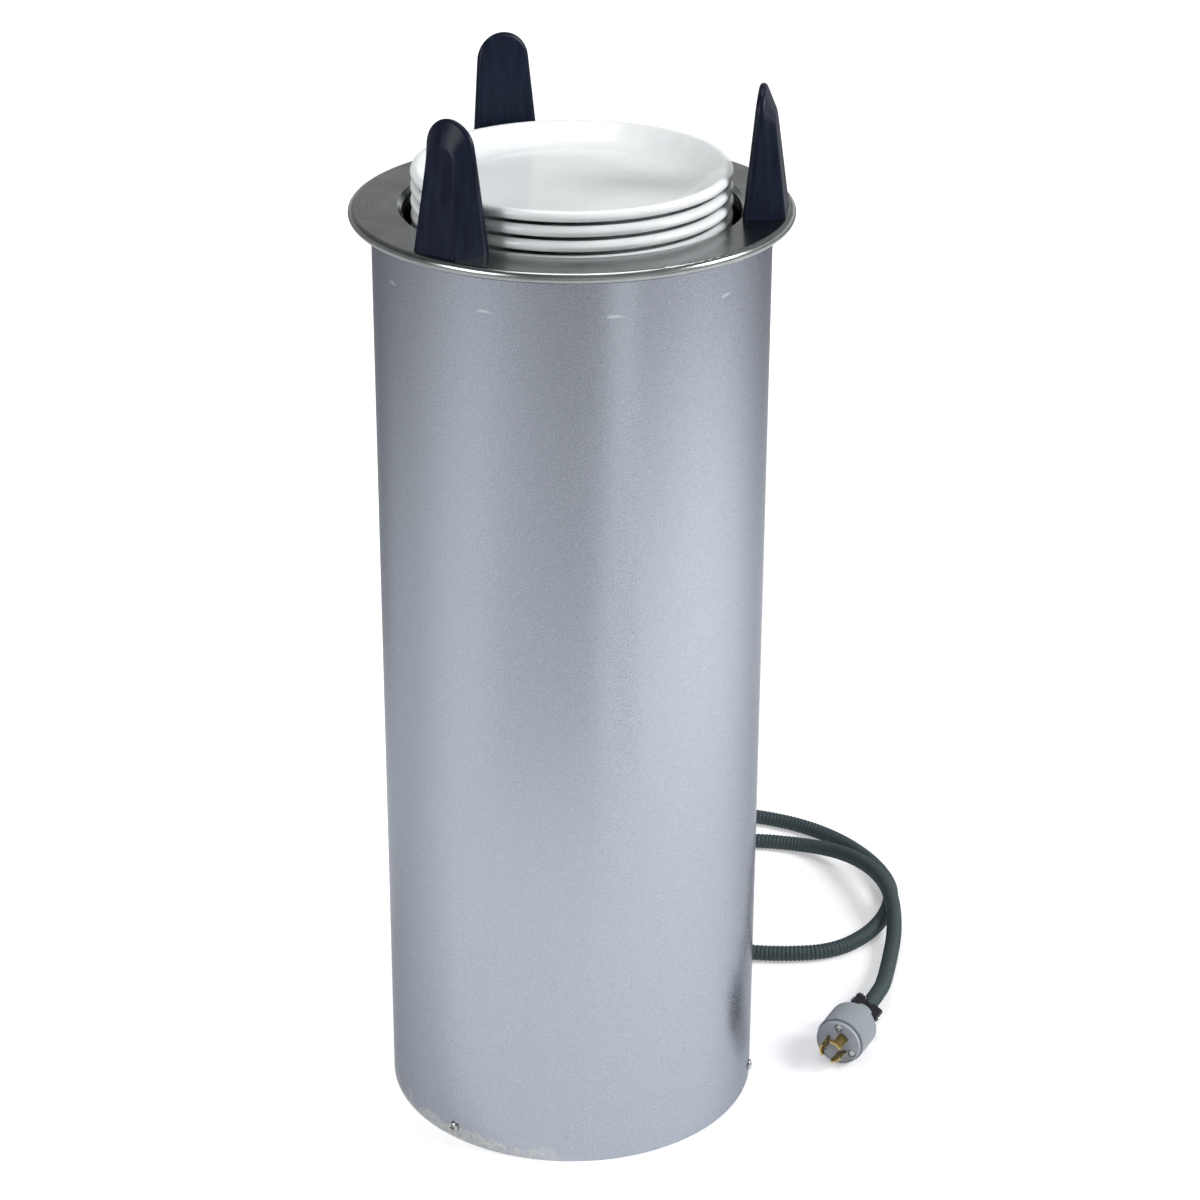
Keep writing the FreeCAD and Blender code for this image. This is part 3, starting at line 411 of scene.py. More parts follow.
# Chloroprene rubber jacket, extruded and wrapped: matt, with a dusty bloom on the ribs
cord_rubber, tree, shader = finish_material("chloroprene_cord_jacket", "#2f3d40", roughness=0.62)
grained(tree, shader, grain_mm=1.4, dark="#29373a", pale="#394a4d", rough=(0.55, 0.72), bump_mm=0.05)
cord = new_piece("ribbed_cord", tube_mesh("ribbed_cord", cord_line, cord_radius, CORD_SIDES), cord_rubber)
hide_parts("power_cord")
print("cord faces:", len(cord.data.polygons))

# %% [markdown]
# ## Finishes of the pieces that stay as they were built
# Sheet, rods, brackets and plates already have their true shape, so they only need the right finish. Each
# finish starts from what the real material is and how its surface was made.

# %% Steel of the tube
# Aluminised sheet, hot dipped and rolled: a soft grey with a fine crystalline grain, neither bright nor matt
shell_steel, tree, shader = finish_material("aluminised_sheet_steel", "#abb0b7", metallic=1.0, roughness=0.26,
                                            specular_tint=(0.55, 0.56, 0.58, 1.0))
place, tone = grained(tree, shader, grain_mm=1.3, dark="#a2a8b1", pale="#b2b8c2", rough=(0.22, 0.31),
                      bump_mm=0.005)
print("tube:", shell_steel.name)

# %% Weld marks on the tube
# The collar inside is spot-welded to the tube, which leaves a row of small bright marks under the flange
SHELL_RADIUS = 0.143
WELD_HEIGHT = 0.682
WELD_STEP = math.radians(36.0)
WELD_FIRST = math.radians(-136.8)
WELD_LENGTH, WELD_WIDTH = 9 * MM, 1.7 * MM
WELD_RAG, WELD_RAG_SIZE = 1.6, 3.2 * MM
WELD_CORE, WELD_EDGE, WELD_SHARE = 1.1, 1.6, 0.75
apart = add(tree, "ShaderNodeSeparateXYZ", {0: place.outputs["Object"]})
bearing = add(tree, "ShaderNodeMath", {0: apart.outputs["Y"], 1: apart.outputs["X"]}, operation="ARCTAN2")
offset = add(tree, "ShaderNodeMath", {0: bearing.outputs[0], 1: WELD_FIRST + WELD_STEP / 2},
             operation="SUBTRACT")
turn = add(tree, "ShaderNodeMath", {0: offset.outputs[0], 1: WELD_STEP}, operation="FLOORED_MODULO")
along = add(tree, "ShaderNodeMath", {0: turn.outputs[0], 1: SHELL_RADIUS, 2: -SHELL_RADIUS * WELD_STEP / 2},
            operation="MULTIPLY_ADD")
rise = add(tree, "ShaderNodeMath", {0: apart.outputs["Z"], 1: WELD_HEIGHT}, operation="SUBTRACT")
spot = add(tree, "ShaderNodeCombineXYZ", {0: along.outputs[0], 1: rise.outputs[0]})
sized = add(tree, "ShaderNodeVectorMath", {0: spot.outputs[0], 1: (1 / WELD_LENGTH, 1 / WELD_WIDTH, 0)},
            operation="MULTIPLY")
ragged = add(tree, "ShaderNodeTexNoise",
             {"Vector": place.outputs["Object"], "Scale": 1 / WELD_RAG_SIZE, "Detail": 2.0})
distance = add(tree, "ShaderNodeVectorMath", {0: sized.outputs[0]}, operation="LENGTH")
edge = add(tree, "ShaderNodeMath", {0: ragged.outputs[0], 1: WELD_RAG, 2: distance.outputs["Value"]},
           operation="MULTIPLY_ADD")
weld = add(tree, "ShaderNodeMapRange", {"Value": edge.outputs[0], FROM_LOW: WELD_CORE, FROM_HIGH: WELD_EDGE,
                                        TO_LOW: WELD_SHARE, TO_HIGH: 0.0})
marked = add(tree, "ShaderNodeMix", {MIX_FACTOR: weld.outputs[0], MIX_A: tone.outputs[MIX_RESULT],
                                     MIX_B: linear("#d9dee4")}, data_type="RGBA")
print("weld marks:", round(math.tau / WELD_STEP), "around the tube")

# %% Dried stain at the foot
# A mopped floor leaves a pale, mottled edge at the foot, which dried unevenly and fades out to the right
STAIN_TOP, STAIN_RAGGED, STAIN_PATCH = 24 * MM, 34 * MM, 16 * MM
STAIN_FULL, STAIN_END = 0.5 * MM, 2.5 * MM
MOTTLE_LOW, MOTTLE_HIGH = 0.35, 0.65
MOTTLE_THIN, MOTTLE_THICK = 0.15, 0.6
STAINED_UNTIL, BARE_FROM = -0.06, 0.02
drip = add(tree, "ShaderNodeTexNoise",
           {"Vector": place.outputs["Object"], "Scale": 1 / STAIN_PATCH, "Detail": 5.0})
level = add(tree, "ShaderNodeMath", {0: drip.outputs[0], 1: STAIN_RAGGED, 2: apart.outputs["Z"]},
            operation="MULTIPLY_ADD")
foot = add(tree, "ShaderNodeMapRange",
           {"Value": level.outputs[0], FROM_LOW: STAIN_TOP + STAIN_FULL, FROM_HIGH: STAIN_TOP + STAIN_END,
            TO_LOW: 1.0, TO_HIGH: 0.0})
mottle = add(tree, "ShaderNodeMapRange",
             {"Value": ragged.outputs[0], FROM_LOW: MOTTLE_LOW, FROM_HIGH: MOTTLE_HIGH,
              TO_LOW: MOTTLE_THIN, TO_HIGH: MOTTLE_THICK})
side = add(tree, "ShaderNodeVectorMath", {0: place.outputs["Object"], 1: image_right},
           operation="DOT_PRODUCT")
wet_side = add(tree, "ShaderNodeMapRange",
               {"Value": side.outputs["Value"], FROM_LOW: STAINED_UNTIL, FROM_HIGH: BARE_FROM,
                TO_LOW: 1.0, TO_HIGH: 0.0})
band = add(tree, "ShaderNodeMath", {0: foot.outputs[0], 1: wet_side.outputs[0]}, operation="MULTIPLY")
stain = add(tree, "ShaderNodeMath", {0: band.outputs[0], 1: mottle.outputs[0]}, operation="MULTIPLY")
stained = add(tree, "ShaderNodeMix", {MIX_FACTOR: stain.outputs[0], MIX_A: marked.outputs[MIX_RESULT],
                                      MIX_B: linear("#d6d3cb")}, data_type="RGBA")
tree.links.new(stained.outputs[MIX_RESULT], shader.inputs["Base Color"])
print("stain up to", round(STAIN_TOP / MM), "mm")

# %% Steel of the flange
# Spun stainless sheet, polished on the lathe: fine rings about the hole and a fairly clear mirror image
RING_PITCH = 1.1 * MM  # real turning marks are nearer 0.2 mm and would not show
RING_DEPTH, SMUDGE_SIZE = 0.004 * MM, 22 * MM
BLEND_LOW, BLEND_HIGH = 0.7, 1.3
SMOOTHEST, ROUGHEST = 0.15, 0.24
flange_steel, tree, shader = finish_material("spun_stainless_flange", "#959999", metallic=1.0, roughness=0.2)
place = add(tree, "ShaderNodeTexCoord")
flat = add(tree, "ShaderNodeVectorMath", {0: place.outputs["Object"], 1: (1, 1, 0)}, operation="MULTIPLY")
radius = add(tree, "ShaderNodeVectorMath", {0: flat.outputs[0]}, operation="LENGTH")
rings = add(tree, "ShaderNodeTexNoise",
            {"W": radius.outputs["Value"], "Scale": 1 / RING_PITCH, "Detail": 2.0}, noise_dimensions="1D")
smudge = add(tree, "ShaderNodeTexNoise", {"Vector": place.outputs["Object"], "Scale": 1 / SMUDGE_SIZE})
blend = add(tree, "ShaderNodeMath", {0: rings.outputs[0], 1: smudge.outputs[0]}, operation="ADD")
share = add(tree, "ShaderNodeMapRange",
            {"Value": blend.outputs[0], FROM_LOW: BLEND_LOW, FROM_HIGH: BLEND_HIGH})
tone = add(tree, "ShaderNodeMix",
           {MIX_FACTOR: share.outputs[0], MIX_A: linear("#898d8d"), MIX_B: linear("#9fa3a3")}, data_type="RGBA")
rough = add(tree, "ShaderNodeMapRange",
            {"Value": blend.outputs[0], FROM_LOW: BLEND_LOW, FROM_HIGH: BLEND_HIGH,
             TO_LOW: SMOOTHEST, TO_HIGH: ROUGHEST})
relief = add(tree, "ShaderNodeBump", {"Height": rings.outputs[0], "Distance": RING_DEPTH})
tree.links.new(tone.outputs[MIX_RESULT], shader.inputs["Base Color"])
tree.links.new(rough.outputs[0], shader.inputs["Roughness"])
tree.links.new(relief.outputs[0], shader.inputs["Normal"])
print("flange:", flange_steel.name)

# %% China
# Vitrified hotel china, glazed and fired: a cool white, very smooth, with a few iron specks in the glaze
SPECK_SPACING = 5.0 * MM
SPECK_RADIUS, SPECK_SHARE = 0.10, 0.30
china, tree, shader = finish_material("vitrified_hotel_china", "#eff0ef", roughness=0.12, ior=1.5)
place, tone = grained(tree, shader, grain_mm=14.0, dark="#eaeeef", pale="#f1f4f5", rough=(0.09, 0.14),
                      bump_mm=0.02)
specks = add(tree, "ShaderNodeTexVoronoi", {"Vector": place.outputs["Object"], "Scale": 1 / SPECK_SPACING})
speck = add(tree, "ShaderNodeMapRange",
            {"Value": specks.outputs["Distance"], FROM_LOW: 0.5 * SPECK_RADIUS, FROM_HIGH: SPECK_RADIUS,
             TO_LOW: SPECK_SHARE, TO_HIGH: 0.0})
speckled = add(tree, "ShaderNodeMix", {MIX_FACTOR: speck.outputs[0], MIX_A: tone.outputs[MIX_RESULT],
                                       MIX_B: linear("#8d8a80")}, data_type="RGBA")
tree.links.new(speckled.outputs[MIX_RESULT], shader.inputs["Base Color"])
print("plates:", china.name)

# %% Plastic of the posts
# Glass-filled nylon, injection moulded: blue-black and satin, with faint flow marks that run up the post
FLOW_MARKS = (1, 1, 0.12)
post_plastic, tree, shader = finish_material("moulded_black_nylon", "#0e1422", roughness=0.34,
                                             specular_ior_level=0.16)
grained(tree, shader, grain_mm=5.0, dark="#091020", pale="#131d30", rough=(0.28, 0.42), bump_mm=0.02,
        stretch=FLOW_MARKS)
print("posts:", post_plastic.name)

# %% The other finishes
METAL_SPECULAR, PLASTIC_SPECULAR = 0.5, 0.3
PLAIN_BUMP_MM = 0.02
plain_finishes = [  # slot, material, metallic, grain in mm, dark and pale tone, roughness
    # Hot-dipped zinc, dull and broadly spangled
    ("inner_steel", "galvanised_inner_sheet", 1.0, 4.0, "#8f9498", "#a6abae", (0.38, 0.5)),
    # Bright zinc plating, a clean glint on each head
    ("screw_steel", "zinc_plated_screw", 1.0, 1.0, "#b4b5b4", "#c6c7c6", (0.22, 0.3)),
    # Centreless-ground rod, smooth and bright
    ("rod_steel", "ground_steel_rod", 1.0, 0.8, "#a9abad", "#b7b9bb", (0.18, 0.26)),
    # Wire tempered in oil, dark with a soft sheen
    ("spring_steel", "oil_tempered_spring_wire", 1.0, 1.5, "#5d5f61", "#6e7072", (0.3, 0.42)),
    # Steel sheath browned by heat, nearly matt
    ("heater_sheath", "oxidised_heater_sheath", 1.0, 2.0, "#4a4541", "#5c5650", (0.45, 0.6)),
    # Pressed phenolic, dark brown and satin
    ("insulator", "phenolic_insulator", 0.0, 1.5, "#2a211b", "#332820", (0.4, 0.52)),
    # Undyed turned nylon, creamy and waxy
    ("nylon", "natural_nylon", 0.0, 1.5, "#dcd8c8", "#e4e0d2", (0.42, 0.52)),
    # Moulded rubber, black and matt
    ("bumper_rubber", "black_rubber", 0.0, 1.2, "#17181a", "#1f2022", (0.6, 0.75)),
    # Moulded nylon, black with a soft sheen on the gland's rings
    ("gland_plastic", "black_gland_nylon", 0.0, 1.2, "#15161a", "#1d1e22", (0.42, 0.52)),
    # Moulded nylon, a dull mid grey that shows the ribs by their shade
    ("plug_grip", "grey_moulded_plug_nylon", 0.0, 0.9, "#8f969c", "#9ca3a9", (0.46, 0.58)),
    # Moulded thermoplastic in the grip's grey, set paler as painted light on the face, which is turned from the
    # key lamp
    ("plug_front", "plug_face_thermoplastic_painted_paler", 0.0, 0.9, "#a2a7af", "#aeb3bb", (0.4, 0.5)),
    # Stamped strip, rubbed to an olive gold in the outlet
    ("blade_brass", "stamped_brass_blade", 1.0, 1.2, "#ab9259", "#b69d65", (0.2, 0.32)),
    # Moulded nylon, nearly black
    ("clamp_plastic", "black_clamp_nylon", 0.0, 1.0, "#0b0d12", "#13161c", (0.38, 0.5)),
]
finishes = {"shell_steel": shell_steel, "flange_steel": flange_steel, "china": china,
            "cord_rubber": cord_rubber, "post_plastic": post_plastic}
for slot, name, metal, grain_mm, dark, pale, rough in plain_finishes:
    material, tree, shader = finish_material(name, dark, metallic=metal, roughness=rough[0],
                                             specular_ior_level=METAL_SPECULAR if metal else PLASTIC_SPECULAR)
    grained(tree, shader, grain_mm, dark, pale, rough, PLAIN_BUMP_MM)
    finishes[slot] = material
for piece in nodes.values():
    slot = piece.data.materials[0].name.split(".")[0]
    piece.data.materials[0] = finishes[slot]
print("finishes:", len(finishes))

# %% [markdown]
# ## Guide posts
# Three moulded posts keep the stack upright. Each is a leaning blade with a rounded top beside the plates,
# swept back to a narrower outer facet. It could be sculpted from a subdivided box; here three arched outlines
# are joined by faces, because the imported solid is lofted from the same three, and the edges are then rounded
# by a weighted bevel, more beside the plates than at the outer facet, as the mould does.

# %% Post outlines
FLANGE_TOP = 0.718
POST_BASE = 0.123
POST_ANGLES = {"left": -150.0, "right": -30.0, "rear": 90.0}
SIDE_STEPS, ARCH_STEPS = 6, 22
post_outlines_mm = [  # depth from the plates' side, half width, arch radius, height, outward lean
    (0.0, 24.4, 18.5, 90.0, 8.0),
    (5.0, 26.4, 20.5, 91.9, 7.4),
    (30.0, 18.0, 12.5, 74.0, -10.0),
]


def post_outline(depth, half, arch, height, lean):
    """One arched outline, from its right foot over the top to its left foot."""
    slant = math.hypot(height, lean)
    centre = slant - arch
    reach = math.hypot(half, centre)
    heading = math.atan2(centre, -half) - math.asin(arch / reach)
    side = math.sqrt(reach ** 2 - arch ** 2)
    touch = (half + side * math.cos(heading), side * math.sin(heading))
    start = math.atan2(touch[1] - centre, touch[0])
    flat = [(half + (touch[0] - half) * i / SIDE_STEPS, touch[1] * i / SIDE_STEPS) for i in range(SIDE_STEPS)]
    for i in range(ARCH_STEPS + 1):
        turn = start + (math.pi - 2 * start) * i / ARCH_STEPS
        flat.append((arch * math.cos(turn), centre + arch * math.sin(turn)))
    flat += [(-x, y) for x, y in reversed(flat[:SIDE_STEPS])]
    points = []
    for x, y in flat:
        outward = POST_BASE + (depth + lean * y / slant) * MM
        points.append(Vector((outward, x * MM, FLANGE_TOP + height * y / slant * MM)))
    return points


print("points on a post outline:", len(post_outline(*post_outlines_mm[0])))

# %% Post meshes
BEVEL_WEIGHTS, FOOT_WEIGHT = (0.7, 1.0, 0.4), 0.2
POST_EDGE_ROUND, ROUND_SEGMENTS = 3.2 * MM, 4
POST_SHARP_ANGLE = math.radians(30)


def post_mesh(name, angle):
    """A post turned to its place, with a bevel weight on each outline."""
    outlines = [post_outline(*row) for row in post_outlines_mm]
    count = len(outlines[0])
    turn = Matrix.Rotation(math.radians(angle), 4, "Z")
    verts = [turn @ p for ring in outlines for p in ring]
    faces = [tuple(range(count)), tuple(reversed(range(2 * count, 3 * count)))]
    for ring in range(2):
        for i in range(count):
            a, b = ring * count + i, ring * count + (i + 1) % count
            faces.append((b, a, a + count, b + count))
    mesh = bpy.data.meshes.new(name)
    mesh.from_pydata(verts, [], faces)
    weights = mesh.attributes.new("bevel_weight_edge", "FLOAT", "EDGE")
    for edge in mesh.edges:
        rings = {v // count for v in edge.vertices}
        on_floor = {v % count for v in edge.vertices} == {0, count - 1}
        if len(rings) == 1:
            weights.data[edge.index].value = FOOT_WEIGHT if on_floor else BEVEL_WEIGHTS[rings.pop()]
    return mesh


for place, angle in POST_ANGLES.items():
    name = "moulded_post_" + place
    post = new_piece(name, post_mesh(name, angle), finishes["post_plastic"])
    rounding = post.modifiers.new("edge_rounding", "BEVEL")
    rounding.limit_method = "WEIGHT"
    rounding.width = POST_EDGE_ROUND
    rounding.segments = ROUND_SEGMENTS
    rounding.harden_normals = True
    post.data.set_sharp_from_angle(angle=POST_SHARP_ANGLE)
    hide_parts("guide_post_" + place)
print("posts:", list(POST_ANGLES))

# %% [markdown]
# ## Lift springs
# Three long extension springs pull the carriage up, and each plate that is added stretches them by one
# plate's thickness.

# %% Wound springs
SPRING_ANGLES = {"right": -30.0, "rear": 90.0, "left": 210.0}
SPRING_CIRCLE = 0.128
SPRING_LOW, SPRING_HIGH = 0.4895, 0.6777
WIRE, WIRE_SIDES = 2.0 * MM, 8
COIL_RADIUS = 7.5 * MM - WIRE / 2
COILS, STEPS_A_COIL = 40, 14


def spring_line(angle):
    """The helix of one spring, from its lower hook to its upper one."""
    centre = Vector((SPRING_CIRCLE * math.cos(angle), SPRING_CIRCLE * math.sin(angle), 0))
    steps = COILS * STEPS_A_COIL
    rise = SPRING_HIGH - SPRING_LOW - WIRE
    return [centre + Vector((COIL_RADIUS * math.cos(math.tau * i / STEPS_A_COIL),
                             COIL_RADIUS * math.sin(math.tau * i / STEPS_A_COIL),
                             SPRING_LOW + WIRE / 2 + rise * i / steps)) for i in range(steps + 1)]


for place, degrees in SPRING_ANGLES.items():
    name = "wound_spring_" + place
    line = spring_line(math.radians(degrees))
    mesh = tube_mesh(name, line, lambda along: WIRE / 2, WIRE_SIDES)
    spring = new_piece(name, mesh, finishes["spring_steel"], body=None)
    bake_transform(spring)
    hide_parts("lift_spring_" + place)
print("springs:", len(SPRING_ANGLES), "of", COILS, "coils")

# %% [markdown]
# ## Screws
# Cross-recessed screws show at the foot of the tube and on the plug. A head is a lathe profile spun about its
# axis. The cross could be drawn as a dark mark; it is cut with a boolean, so that the light falls into a real
# hollow.

# %% Lathe and cutting helpers
def lathe(bm, profile, sides, matrix, ripple=None):
    """Spin (height, radius) pairs about local z into a closed skin; ripple(turn, height) adds to it."""
    rings = []
    for height, radius in profile:
        ring = []
        for s in range(sides):
            turn = math.tau * s / sides
            out = radius + (ripple(turn, height) if ripple else 0.0)
            ring.append(bm.verts.new(matrix @ Vector((out * math.cos(turn), out * math.sin(turn), height))))
        rings.append(ring)
    for low, high in zip(rings, rings[1:]):
        for s in range(sides):
            bm.faces.new((low[s], low[(s + 1) % sides], high[(s + 1) % sides], high[s]))
    bm.faces.new(list(reversed(rings[0])))
    bm.faces.new(rings[-1])


def prism(bm, corners, low, high, matrix):
    """A closed prism on a flat outline, between two heights of a local frame."""
    ends = [[bm.verts.new(matrix @ Vector((x, y, height))) for x, y in corners] for height in (low, high)]
    bm.faces.new(ends[0][::-1])
    bm.faces.new(ends[1])
    for i in range(len(corners)):
        after = (i + 1) % len(corners)
        bm.faces.new((ends[0][i], ends[0][after], ends[1][after], ends[1][i]))


def to_mesh(bm, name):
    """Close a bmesh into a new mesh with outward faces."""
    bmesh.ops.recalc_face_normals(bm, faces=bm.faces)
    mesh = bpy.data.meshes.new(name)
    bm.to_mesh(mesh)
    bm.free()
    return mesh


def carved(body_mesh, cutter_mesh):
    """The first mesh with the second one taken out of it."""
    body = bpy.data.objects.new("carved_body", body_mesh)
    cutter = bpy.data.objects.new("carved_cutter", cutter_mesh)
    for each in (body, cutter):
        bpy.context.scene.collection.objects.link(each)
    cut = body.modifiers.new("cut", "BOOLEAN")
    cut.operation = "DIFFERENCE"
    cut.solver = "EXACT"
    cut.object = cutter
    result = bpy.data.meshes.new_from_object(body.evaluated_get(bpy.context.evaluated_depsgraph_get()))
    result.name = body_mesh.name
    bpy.data.objects.remove(body)
    bpy.data.objects.remove(cutter)
    return result


# %% Screw heads
CROSS_HALF, CROSS_ARM = 0.16, 0.62  # shares of the head's radius
CROSS_FLOOR, CROSS_TOP = 0.35, 1.6  # shares of its height
CROSS_TURN = 0.4
SHANK_SHARE, FOOT_SHARE, CROWN_SHARE = 0.5, 0.94, 0.12
RIM_RISE = 0.12
DOME_START, DOME_FULLNESS = 0.35, 0.7
DOME_TURNS = (8, 22, 36, 50, 64, 78)
HEAD_SIDES = 28
SHARP_ANGLE = math.radians(35)


def screw_heads(name, places, radius, height, shank):
    """Domed heads with a crossed recess, one at each place; local z points out of the head."""
    heads, crosses = bmesh.new(), bmesh.new()
    slot, arm = radius * CROSS_HALF, radius * CROSS_ARM
    cross = []
    for quarter in range(4):
        turn = Matrix.Rotation(math.pi / 2 * quarter, 2)
        cross += [turn @ Vector(corner) for corner in ((arm, -slot), (arm, slot), (slot, slot))]
    dome = [(-shank, radius * SHANK_SHARE), (0.0, radius * SHANK_SHARE), (0.0, radius * FOOT_SHARE),
            (height * RIM_RISE, radius)]
    for turn in map(math.radians, DOME_TURNS):
        dome.append((height * (DOME_START + (1 - DOME_START) * math.sin(turn)),
                     radius * math.cos(turn) ** DOME_FULLNESS))
    dome.append((height, radius * CROWN_SHARE))
    for matrix in places:
        lathe(heads, dome, HEAD_SIDES, matrix)
        prism(crosses, cross, height * CROSS_FLOOR, height * CROSS_TOP,
              matrix @ Matrix.Rotation(CROSS_TURN, 4, "Z"))
    return carved(to_mesh(heads, name), to_mesh(crosses, name + "_cross"))


# %% Screws at the foot of the tube
BASE_SCREW_HEIGHT = 9.5 * MM
BASE_SCREW_COUNT, BASE_SCREW_FIRST = 3, math.radians(-152.0)
BASE_SCREW = {"radius": 4.4 * MM, "height": 2.4 * MM, "shank": 7.0 * MM}
places = []
for step in range(BASE_SCREW_COUNT):
    turn = Matrix.Rotation(BASE_SCREW_FIRST + math.tau / BASE_SCREW_COUNT * step, 4, "Z")
    out = Matrix.Translation((SHELL_RADIUS, 0, BASE_SCREW_HEIGHT)) @ Matrix.Rotation(math.pi / 2, 4, "Y")
    places.append(turn @ out)
base_screws = new_piece("foot_screws", screw_heads("foot_screws", places, **BASE_SCREW),
                        finishes["screw_steel"])
base_screws.data.set_sharp_from_angle(angle=SHARP_ANGLE)
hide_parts("base_screws")
print("foot screws:", len(places))

# %% [markdown]
# ## Plug
# A round locking plug: its curved blades twist in the outlet, three sunk screws hold the face, and two screwed
# ears behind the neck grip the cord. The blades already have their true form. The face could be painted with
# dark rings, but real wells and slots catch the shadow, so it is spun and then cut. The barrel is spun too,
# with a radius that rises and falls around it for the finger ribs, and the ears are rolled the way that the
# plug lies.

# %% Plug face
plug_start = Vector(cord_route_mm[-1]) * MM
approach = plug_start - Vector(cord_route_mm[-2]) * MM
plug_frame = (Matrix.Translation(plug_start) @ Matrix.Rotation(math.atan2(approach.y, approach.x), 4, "Z")
              @ Matrix.Rotation(math.pi / 2, 4, "Y"))
FACE_BACK, FACE_FLOOR, FACE_FRONT = 56.0 * MM, 58.3 * MM, 59.0 * MM
FACE_RADIUS, FACE_RIM, FACE_ROUND = 18.6 * MM, 1.4 * MM, 0.6 * MM
FACE_SIDES = 64
quarter_round = [math.pi / 8 * step for step in range(5)]
face = bmesh.new()
profile = [(FACE_BACK, FACE_RADIUS)]
for turn in quarter_round:
    profile.append((FACE_FRONT - FACE_ROUND + FACE_ROUND * math.sin(turn),
                    FACE_RADIUS - FACE_ROUND + FACE_ROUND * math.cos(turn)))
profile += [(FACE_FRONT, FACE_RADIUS - FACE_RIM), (FACE_FLOOR, FACE_RADIUS - FACE_RIM)]
lathe(face, profile, FACE_SIDES, plug_frame)
print("plug starts at", [round(v, 4) for v in plug_start])

# %% Wells and slots in the plug face
SCREW_CIRCLE, WELL_RADIUS, WELL_DEPTH = 13.6 * MM, 3.4 * MM, 1.5 * MM
WELL_SIDES = 24
CUT_TOP = FACE_FRONT + MM
BLADE_COUNT, BLADE_CIRCLE, BLADE_THICKNESS = 3, 9.6 * MM, 1.5 * MM
SLOT_ROOM, SLOT_STEPS = 0.45 * MM, 12
SLOT_TURN, SLOT_LEAD = math.radians(70.0), math.radians(3.0)
SCREW_COUNT, SCREW_FIRST = 3, math.radians(60.0)
screw_turns = [SCREW_FIRST + math.tau / SCREW_COUNT * step for step in range(SCREW_COUNT)]
cutters = bmesh.new()
for turn in screw_turns:
    well = plug_frame @ Matrix.Rotation(turn, 4, "Z") @ Matrix.Translation((SCREW_CIRCLE, 0, 0))
    lathe(cutters, [(FACE_FLOOR - WELL_DEPTH, WELL_RADIUS), (CUT_TOP, WELL_RADIUS)], WELL_SIDES, well)
arc = [SLOT_TURN * i / SLOT_STEPS - SLOT_LEAD for i in range(SLOT_STEPS + 1)]
outer = BLADE_CIRCLE + SLOT_ROOM
inner = BLADE_CIRCLE - BLADE_THICKNESS - SLOT_ROOM
ring = [(outer * math.cos(t), outer * math.sin(t)) for t in arc]
ring += [(inner * math.cos(t), inner * math.sin(t)) for t in reversed(arc)]
for step in range(BLADE_COUNT):
    prism(cutters, ring, FACE_FLOOR - WELL_DEPTH / 2, CUT_TOP,
          plug_frame @ Matrix.Rotation(math.tau / BLADE_COUNT * step, 4, "Z"))
face_mesh = carved(to_mesh(face, "moulded_plug_face"), to_mesh(cutters, "plug_wells"))
plug_face = new_piece("moulded_plug_face", face_mesh, finishes["plug_front"])
plug_face.data.set_sharp_from_angle(angle=SHARP_ANGLE)
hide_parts("plug_face")
print("plug face:", len(plug_face.data.polygons), "faces")

# %% Plug barrel
TAIL_END, NECK_RADIUS = 11.0 * MM, 10.5 * MM
BARREL_BACK, BARREL_FRONT, BARREL_RADIUS = 25.0 * MM, 54.5 * MM, 19.6 * MM
BARREL_ROUND, BARREL_EDGE = 1.6 * MM, 0.4 * MM
GROOVE_RADIUS = 17.2 * MM
GRIP_RIBS, GRIP_RIB_RISE = 64, 0.45 * MM
SIDES_A_RIB = 4
RIBS_FROM = BARREL_BACK + 0.99 * BARREL_ROUND  # just before the rounding ends


def grip_rib(turn, height):
    """Round finger ribs along the straight part of the barrel."""
    ribbed = RIBS_FROM < height < BARREL_FRONT
    return GRIP_RIB_RISE * abs(math.sin(GRIP_RIBS / 2 * turn)) if ribbed else 0.0


profile = [(TAIL_END, NECK_RADIUS), (BARREL_BACK, NECK_RADIUS)]
for turn in quarter_round:
    profile.append((BARREL_BACK + BARREL_ROUND - BARREL_ROUND * math.cos(turn),
                    BARREL_RADIUS - BARREL_ROUND + BARREL_ROUND * math.sin(turn)))
profile += [(BARREL_FRONT - BARREL_EDGE, BARREL_RADIUS), (BARREL_FRONT, BARREL_RADIUS - BARREL_EDGE),
            (BARREL_FRONT, GROOVE_RADIUS), (FACE_BACK, GROOVE_RADIUS)]
barrel = bmesh.new()
lathe(barrel, profile, GRIP_RIBS * SIDES_A_RIB, plug_frame, grip_rib)
print("plug barrel:", GRIP_RIBS, "ribs")

# %% Tongue under the cord
EAR_ROLL = math.radians(-28.0)
TONGUE_HALF, TONGUE_STEPS = math.radians(80.0), 8
ear_frame = plug_frame @ Matrix.Rotation(EAR_ROLL, 4, "Z")
arc = [TONGUE_HALF * (i / TONGUE_STEPS - 1) for i in range(2 * TONGUE_STEPS + 1)]
tongue = [(NECK_RADIUS * math.cos(t), NECK_RADIUS * math.sin(t)) for t in arc]
prism(barrel, tongue, 0.0, TAIL_END, ear_frame)
plug_barrel = new_piece("moulded_plug_barrel", to_mesh(barrel, "moulded_plug_barrel"), finishes["plug_grip"])
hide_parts("plug_body")
print("plug body:", len(plug_barrel.data.polygons), "faces")

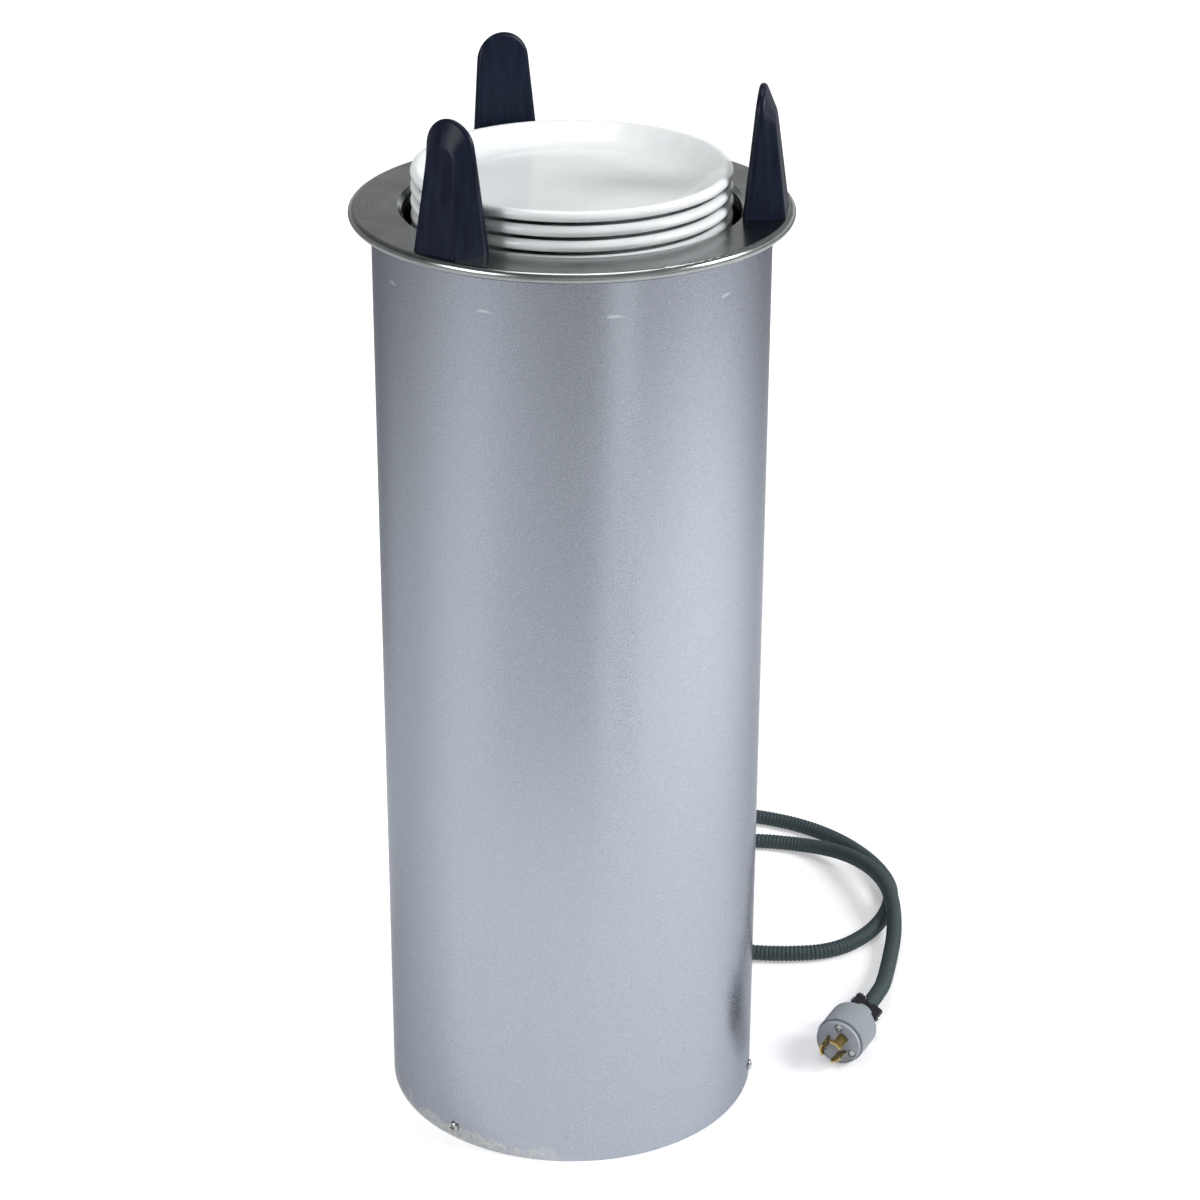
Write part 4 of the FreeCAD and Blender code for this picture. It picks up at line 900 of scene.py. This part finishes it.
# %% Cord ears of the plug
EAR_TOP, EAR_BELOW, EAR_CHAMFER = 8.6 * MM, 2.8 * MM, 1.6 * MM
EAR_INNER, EAR_SIDE = 2.5 * MM, 12.6 * MM
EAR_FRONT = 14.0 * MM
TAIL_SIDES = 28
half_ear = [(-EAR_TOP, EAR_INNER), (-EAR_TOP, EAR_SIDE - EAR_CHAMFER), (-EAR_TOP + EAR_CHAMFER, EAR_SIDE),
            (EAR_BELOW - EAR_CHAMFER, EAR_SIDE), (EAR_BELOW, EAR_SIDE - EAR_CHAMFER), (EAR_BELOW, EAR_INNER)]
ears = bmesh.new()
for side in (-1, 1):
    prism(ears, [(x, side * y) for x, y in half_ear], 0.0, EAR_FRONT, ear_frame)
lathe(ears, [(0.0, CORD_DIAMETER / 2), (TAIL_END, CORD_DIAMETER / 2)], TAIL_SIDES, plug_frame)
plug_ears = new_piece("plug_cord_ears", to_mesh(ears, "plug_cord_ears"), finishes["clamp_plastic"])
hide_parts("plug_clamp")
for piece in (plug_barrel, plug_ears):
    piece.data.set_sharp_from_angle(angle=SHARP_ANGLE)
print("plug ears:", len(plug_ears.data.polygons), "faces")

# %% Screws of the plug
FACE_SCREW = {"radius": 2.8 * MM, "height": 1.3 * MM, "shank": 0.4 * MM}
EAR_SCREW = {"radius": 2.8 * MM, "height": 1.5 * MM, "shank": 3.0 * MM}
EAR_ALONG, EAR_SCREW_RISE = 6.0 * MM, 3.0 * MM
well_floor = Matrix.Translation((SCREW_CIRCLE, 0, FACE_FLOOR - WELL_DEPTH))
sunk = [plug_frame @ Matrix.Rotation(turn, 4, "Z") @ well_floor for turn in screw_turns]
face_screws = new_piece("plug_face_screws", screw_heads("plug_face_screws", sunk, **FACE_SCREW),
                        finishes["screw_steel"])
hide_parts("plug_screws")
on_ears = [ear_frame @ Matrix.Translation((-EAR_SCREW_RISE, side * EAR_SIDE, EAR_ALONG))
           @ Matrix.Rotation(-side * math.pi / 2, 4, "X") for side in (-1, 1)]
ear_screws = new_piece("plug_ear_screws", screw_heads("plug_ear_screws", on_ears, **EAR_SCREW),
                       finishes["screw_steel"])
for piece in (face_screws, ear_screws):
    piece.data.set_sharp_from_angle(angle=SHARP_ANGLE)
print("plug screws:", len(sunk) + len(on_ears))

# %% Wire bail, and what lies on the cord's end
BAIL_RADIUS, BAIL_WIRE, BAIL_SINK = 4.2 * MM, 0.9 * MM, 1.0 * MM
BAIL_STEPS = 16
bail_line = []
for step in range(BAIL_STEPS + 1):
    turn = math.pi * step / BAIL_STEPS
    bail_line.append(ear_frame @ Vector((-EAR_TOP + BAIL_SINK - BAIL_RADIUS * math.sin(turn),
                                         -EAR_SIDE + BAIL_RADIUS - BAIL_RADIUS * math.cos(turn),
                                         EAR_ALONG / 2)))
bail_mesh = tube_mesh("plug_ear_bail", bail_line, lambda along: BAIL_WIRE / 2, WIRE_SIDES)
bail = new_piece("plug_ear_bail", bail_mesh, finishes["screw_steel"])
print("bail of", len(bail_line), "points")

# %% Finish
bpy.context.scene.view_settings.view_transform = "Standard"
